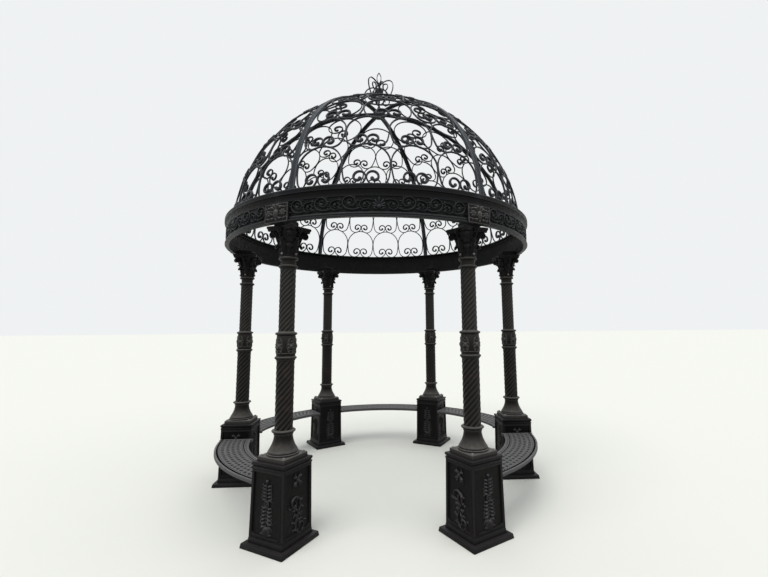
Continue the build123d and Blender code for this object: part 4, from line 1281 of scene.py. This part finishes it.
# Floor, light and camera
FLOOR_REACH, FLOOR_ROUGHNESS = 150.0, 0.95
FLOOR_SHOWN = (0.800, 0.790, 0.715)
FLOOR_BOUNCE = (0.300, 0.300, 0.290)
BACKDROP_SHOWN = (0.865, 0.885, 0.890)
AIR, AIR_STRENGTH = (0.800, 0.860, 0.940), 0.60


def seen_directly(tree):
    """One for the rays that show the backdrop itself: to the camera, in a gloss or through glass."""
    paths = tree.nodes.new("ShaderNodeLightPath")
    value = paths.outputs["Is Camera Ray"]
    for other in ("Is Glossy Ray", "Is Transmission Ray"):
        node = tree.nodes.new("ShaderNodeMath")
        node.operation = "MAXIMUM"
        tree.links.new(value, node.inputs[0])
        tree.links.new(paths.outputs[other], node.inputs[1])
        value = node.outputs["Value"]
    return value


floor_finish = bpy.data.materials.new("pale_floor")
floor_finish.use_nodes = True
tree = floor_finish.node_tree
pale = blended(tree, seen_directly(tree), FLOOR_BOUNCE, FLOOR_SHOWN)
tree.links.new(pale, tree.nodes["Principled BSDF"].inputs["Base Color"])
tree.nodes["Principled BSDF"].inputs["Roughness"].default_value = FLOOR_ROUGHNESS
tree.nodes["Principled BSDF"].inputs["Specular IOR Level"].default_value = 0.0
floor_mesh = bpy.data.meshes.new("floor")
bm = bmesh.new()
bmesh.ops.create_grid(bm, x_segments=1, y_segments=1, size=FLOOR_REACH)
bm.to_mesh(floor_mesh)
bm.free()
floor_mesh.materials.append(floor_finish)
floor = bpy.data.objects.new("floor", floor_mesh)
bpy.context.scene.collection.objects.link(floor)

world = bpy.data.worlds.new("studio")
bpy.context.scene.world = world
world.use_nodes = True
tree = world.node_tree
background = tree.nodes["Background"]
background.inputs["Color"].default_value = (*AIR, 1)
background.inputs["Strength"].default_value = AIR_STRENGTH
backdrop = tree.nodes.new("ShaderNodeBackground")
backdrop.inputs["Color"].default_value = (*BACKDROP_SHOWN, 1)
chosen = tree.nodes.new("ShaderNodeMixShader")
tree.links.new(seen_directly(tree), chosen.inputs["Fac"])
tree.links.new(background.outputs["Background"], chosen.inputs[1])
tree.links.new(backdrop.outputs["Background"], chosen.inputs[2])
tree.links.new(chosen.outputs["Shader"], tree.nodes["World Output"].inputs["Surface"])


def soft_sun(name, toward, strength, width):
    """Even light from one direction; its width is the angle of the sky that it fills."""
    data = bpy.data.lights.new(name, "SUN")
    data.energy = strength
    data.angle = radians(width)
    light = bpy.data.objects.new(name, data)
    light.rotation_mode = "QUATERNION"
    light.rotation_quaternion = Vector(toward).to_track_quat("-Z", "Y")
    bpy.context.scene.collection.objects.link(light)


for name, toward, strength, width in (
    ("key_light", (0.45, 0.60, -1.25), 1.53, 40),
    ("fill_light", (-0.60, 0.35, -0.90), 0.62, 50),
    ("back_light", (-0.10, -0.70, -1.00), 0.40, 50),
):
    soft_sun(name, toward, strength, width)

# The photo's camera: lens in millimetres, shift of the picture, place in metres, and its turns
SENSOR_WIDTH, LENS, PICTURE_SHIFT = 36.0, 18.755, (-0.0219, -0.0156)
CAMERA_PLACE = (-0.001, -4.615, 1.600)
YAW, PITCH, ROLL = radians(3.143), radians(7.359), radians(-0.439)
FAR = 200.0
camera_data = bpy.data.cameras.new("camera")
camera_data.sensor_width = SENSOR_WIDTH
camera_data.lens = LENS
camera_data.shift_x, camera_data.shift_y = PICTURE_SHIFT
camera = bpy.data.objects.new("camera", camera_data)
bpy.context.scene.collection.objects.link(camera)
ahead = Vector((sin(YAW) * cos(PITCH), cos(YAW) * cos(PITCH), sin(PITCH)))
right = Vector((cos(YAW), -sin(YAW), 0))
over = right.cross(ahead)
level_right = right * cos(ROLL) + over * sin(ROLL)
level_up = over * cos(ROLL) - right * sin(ROLL)
camera.location = CAMERA_PLACE
camera.rotation_mode = "QUATERNION"
camera.rotation_quaternion = Matrix((level_right, level_up, -ahead)).transposed().to_quaternion()
camera_data.clip_end = FAR
bpy.context.scene.camera = camera
bpy.context.scene.view_settings.view_transform = "Standard"
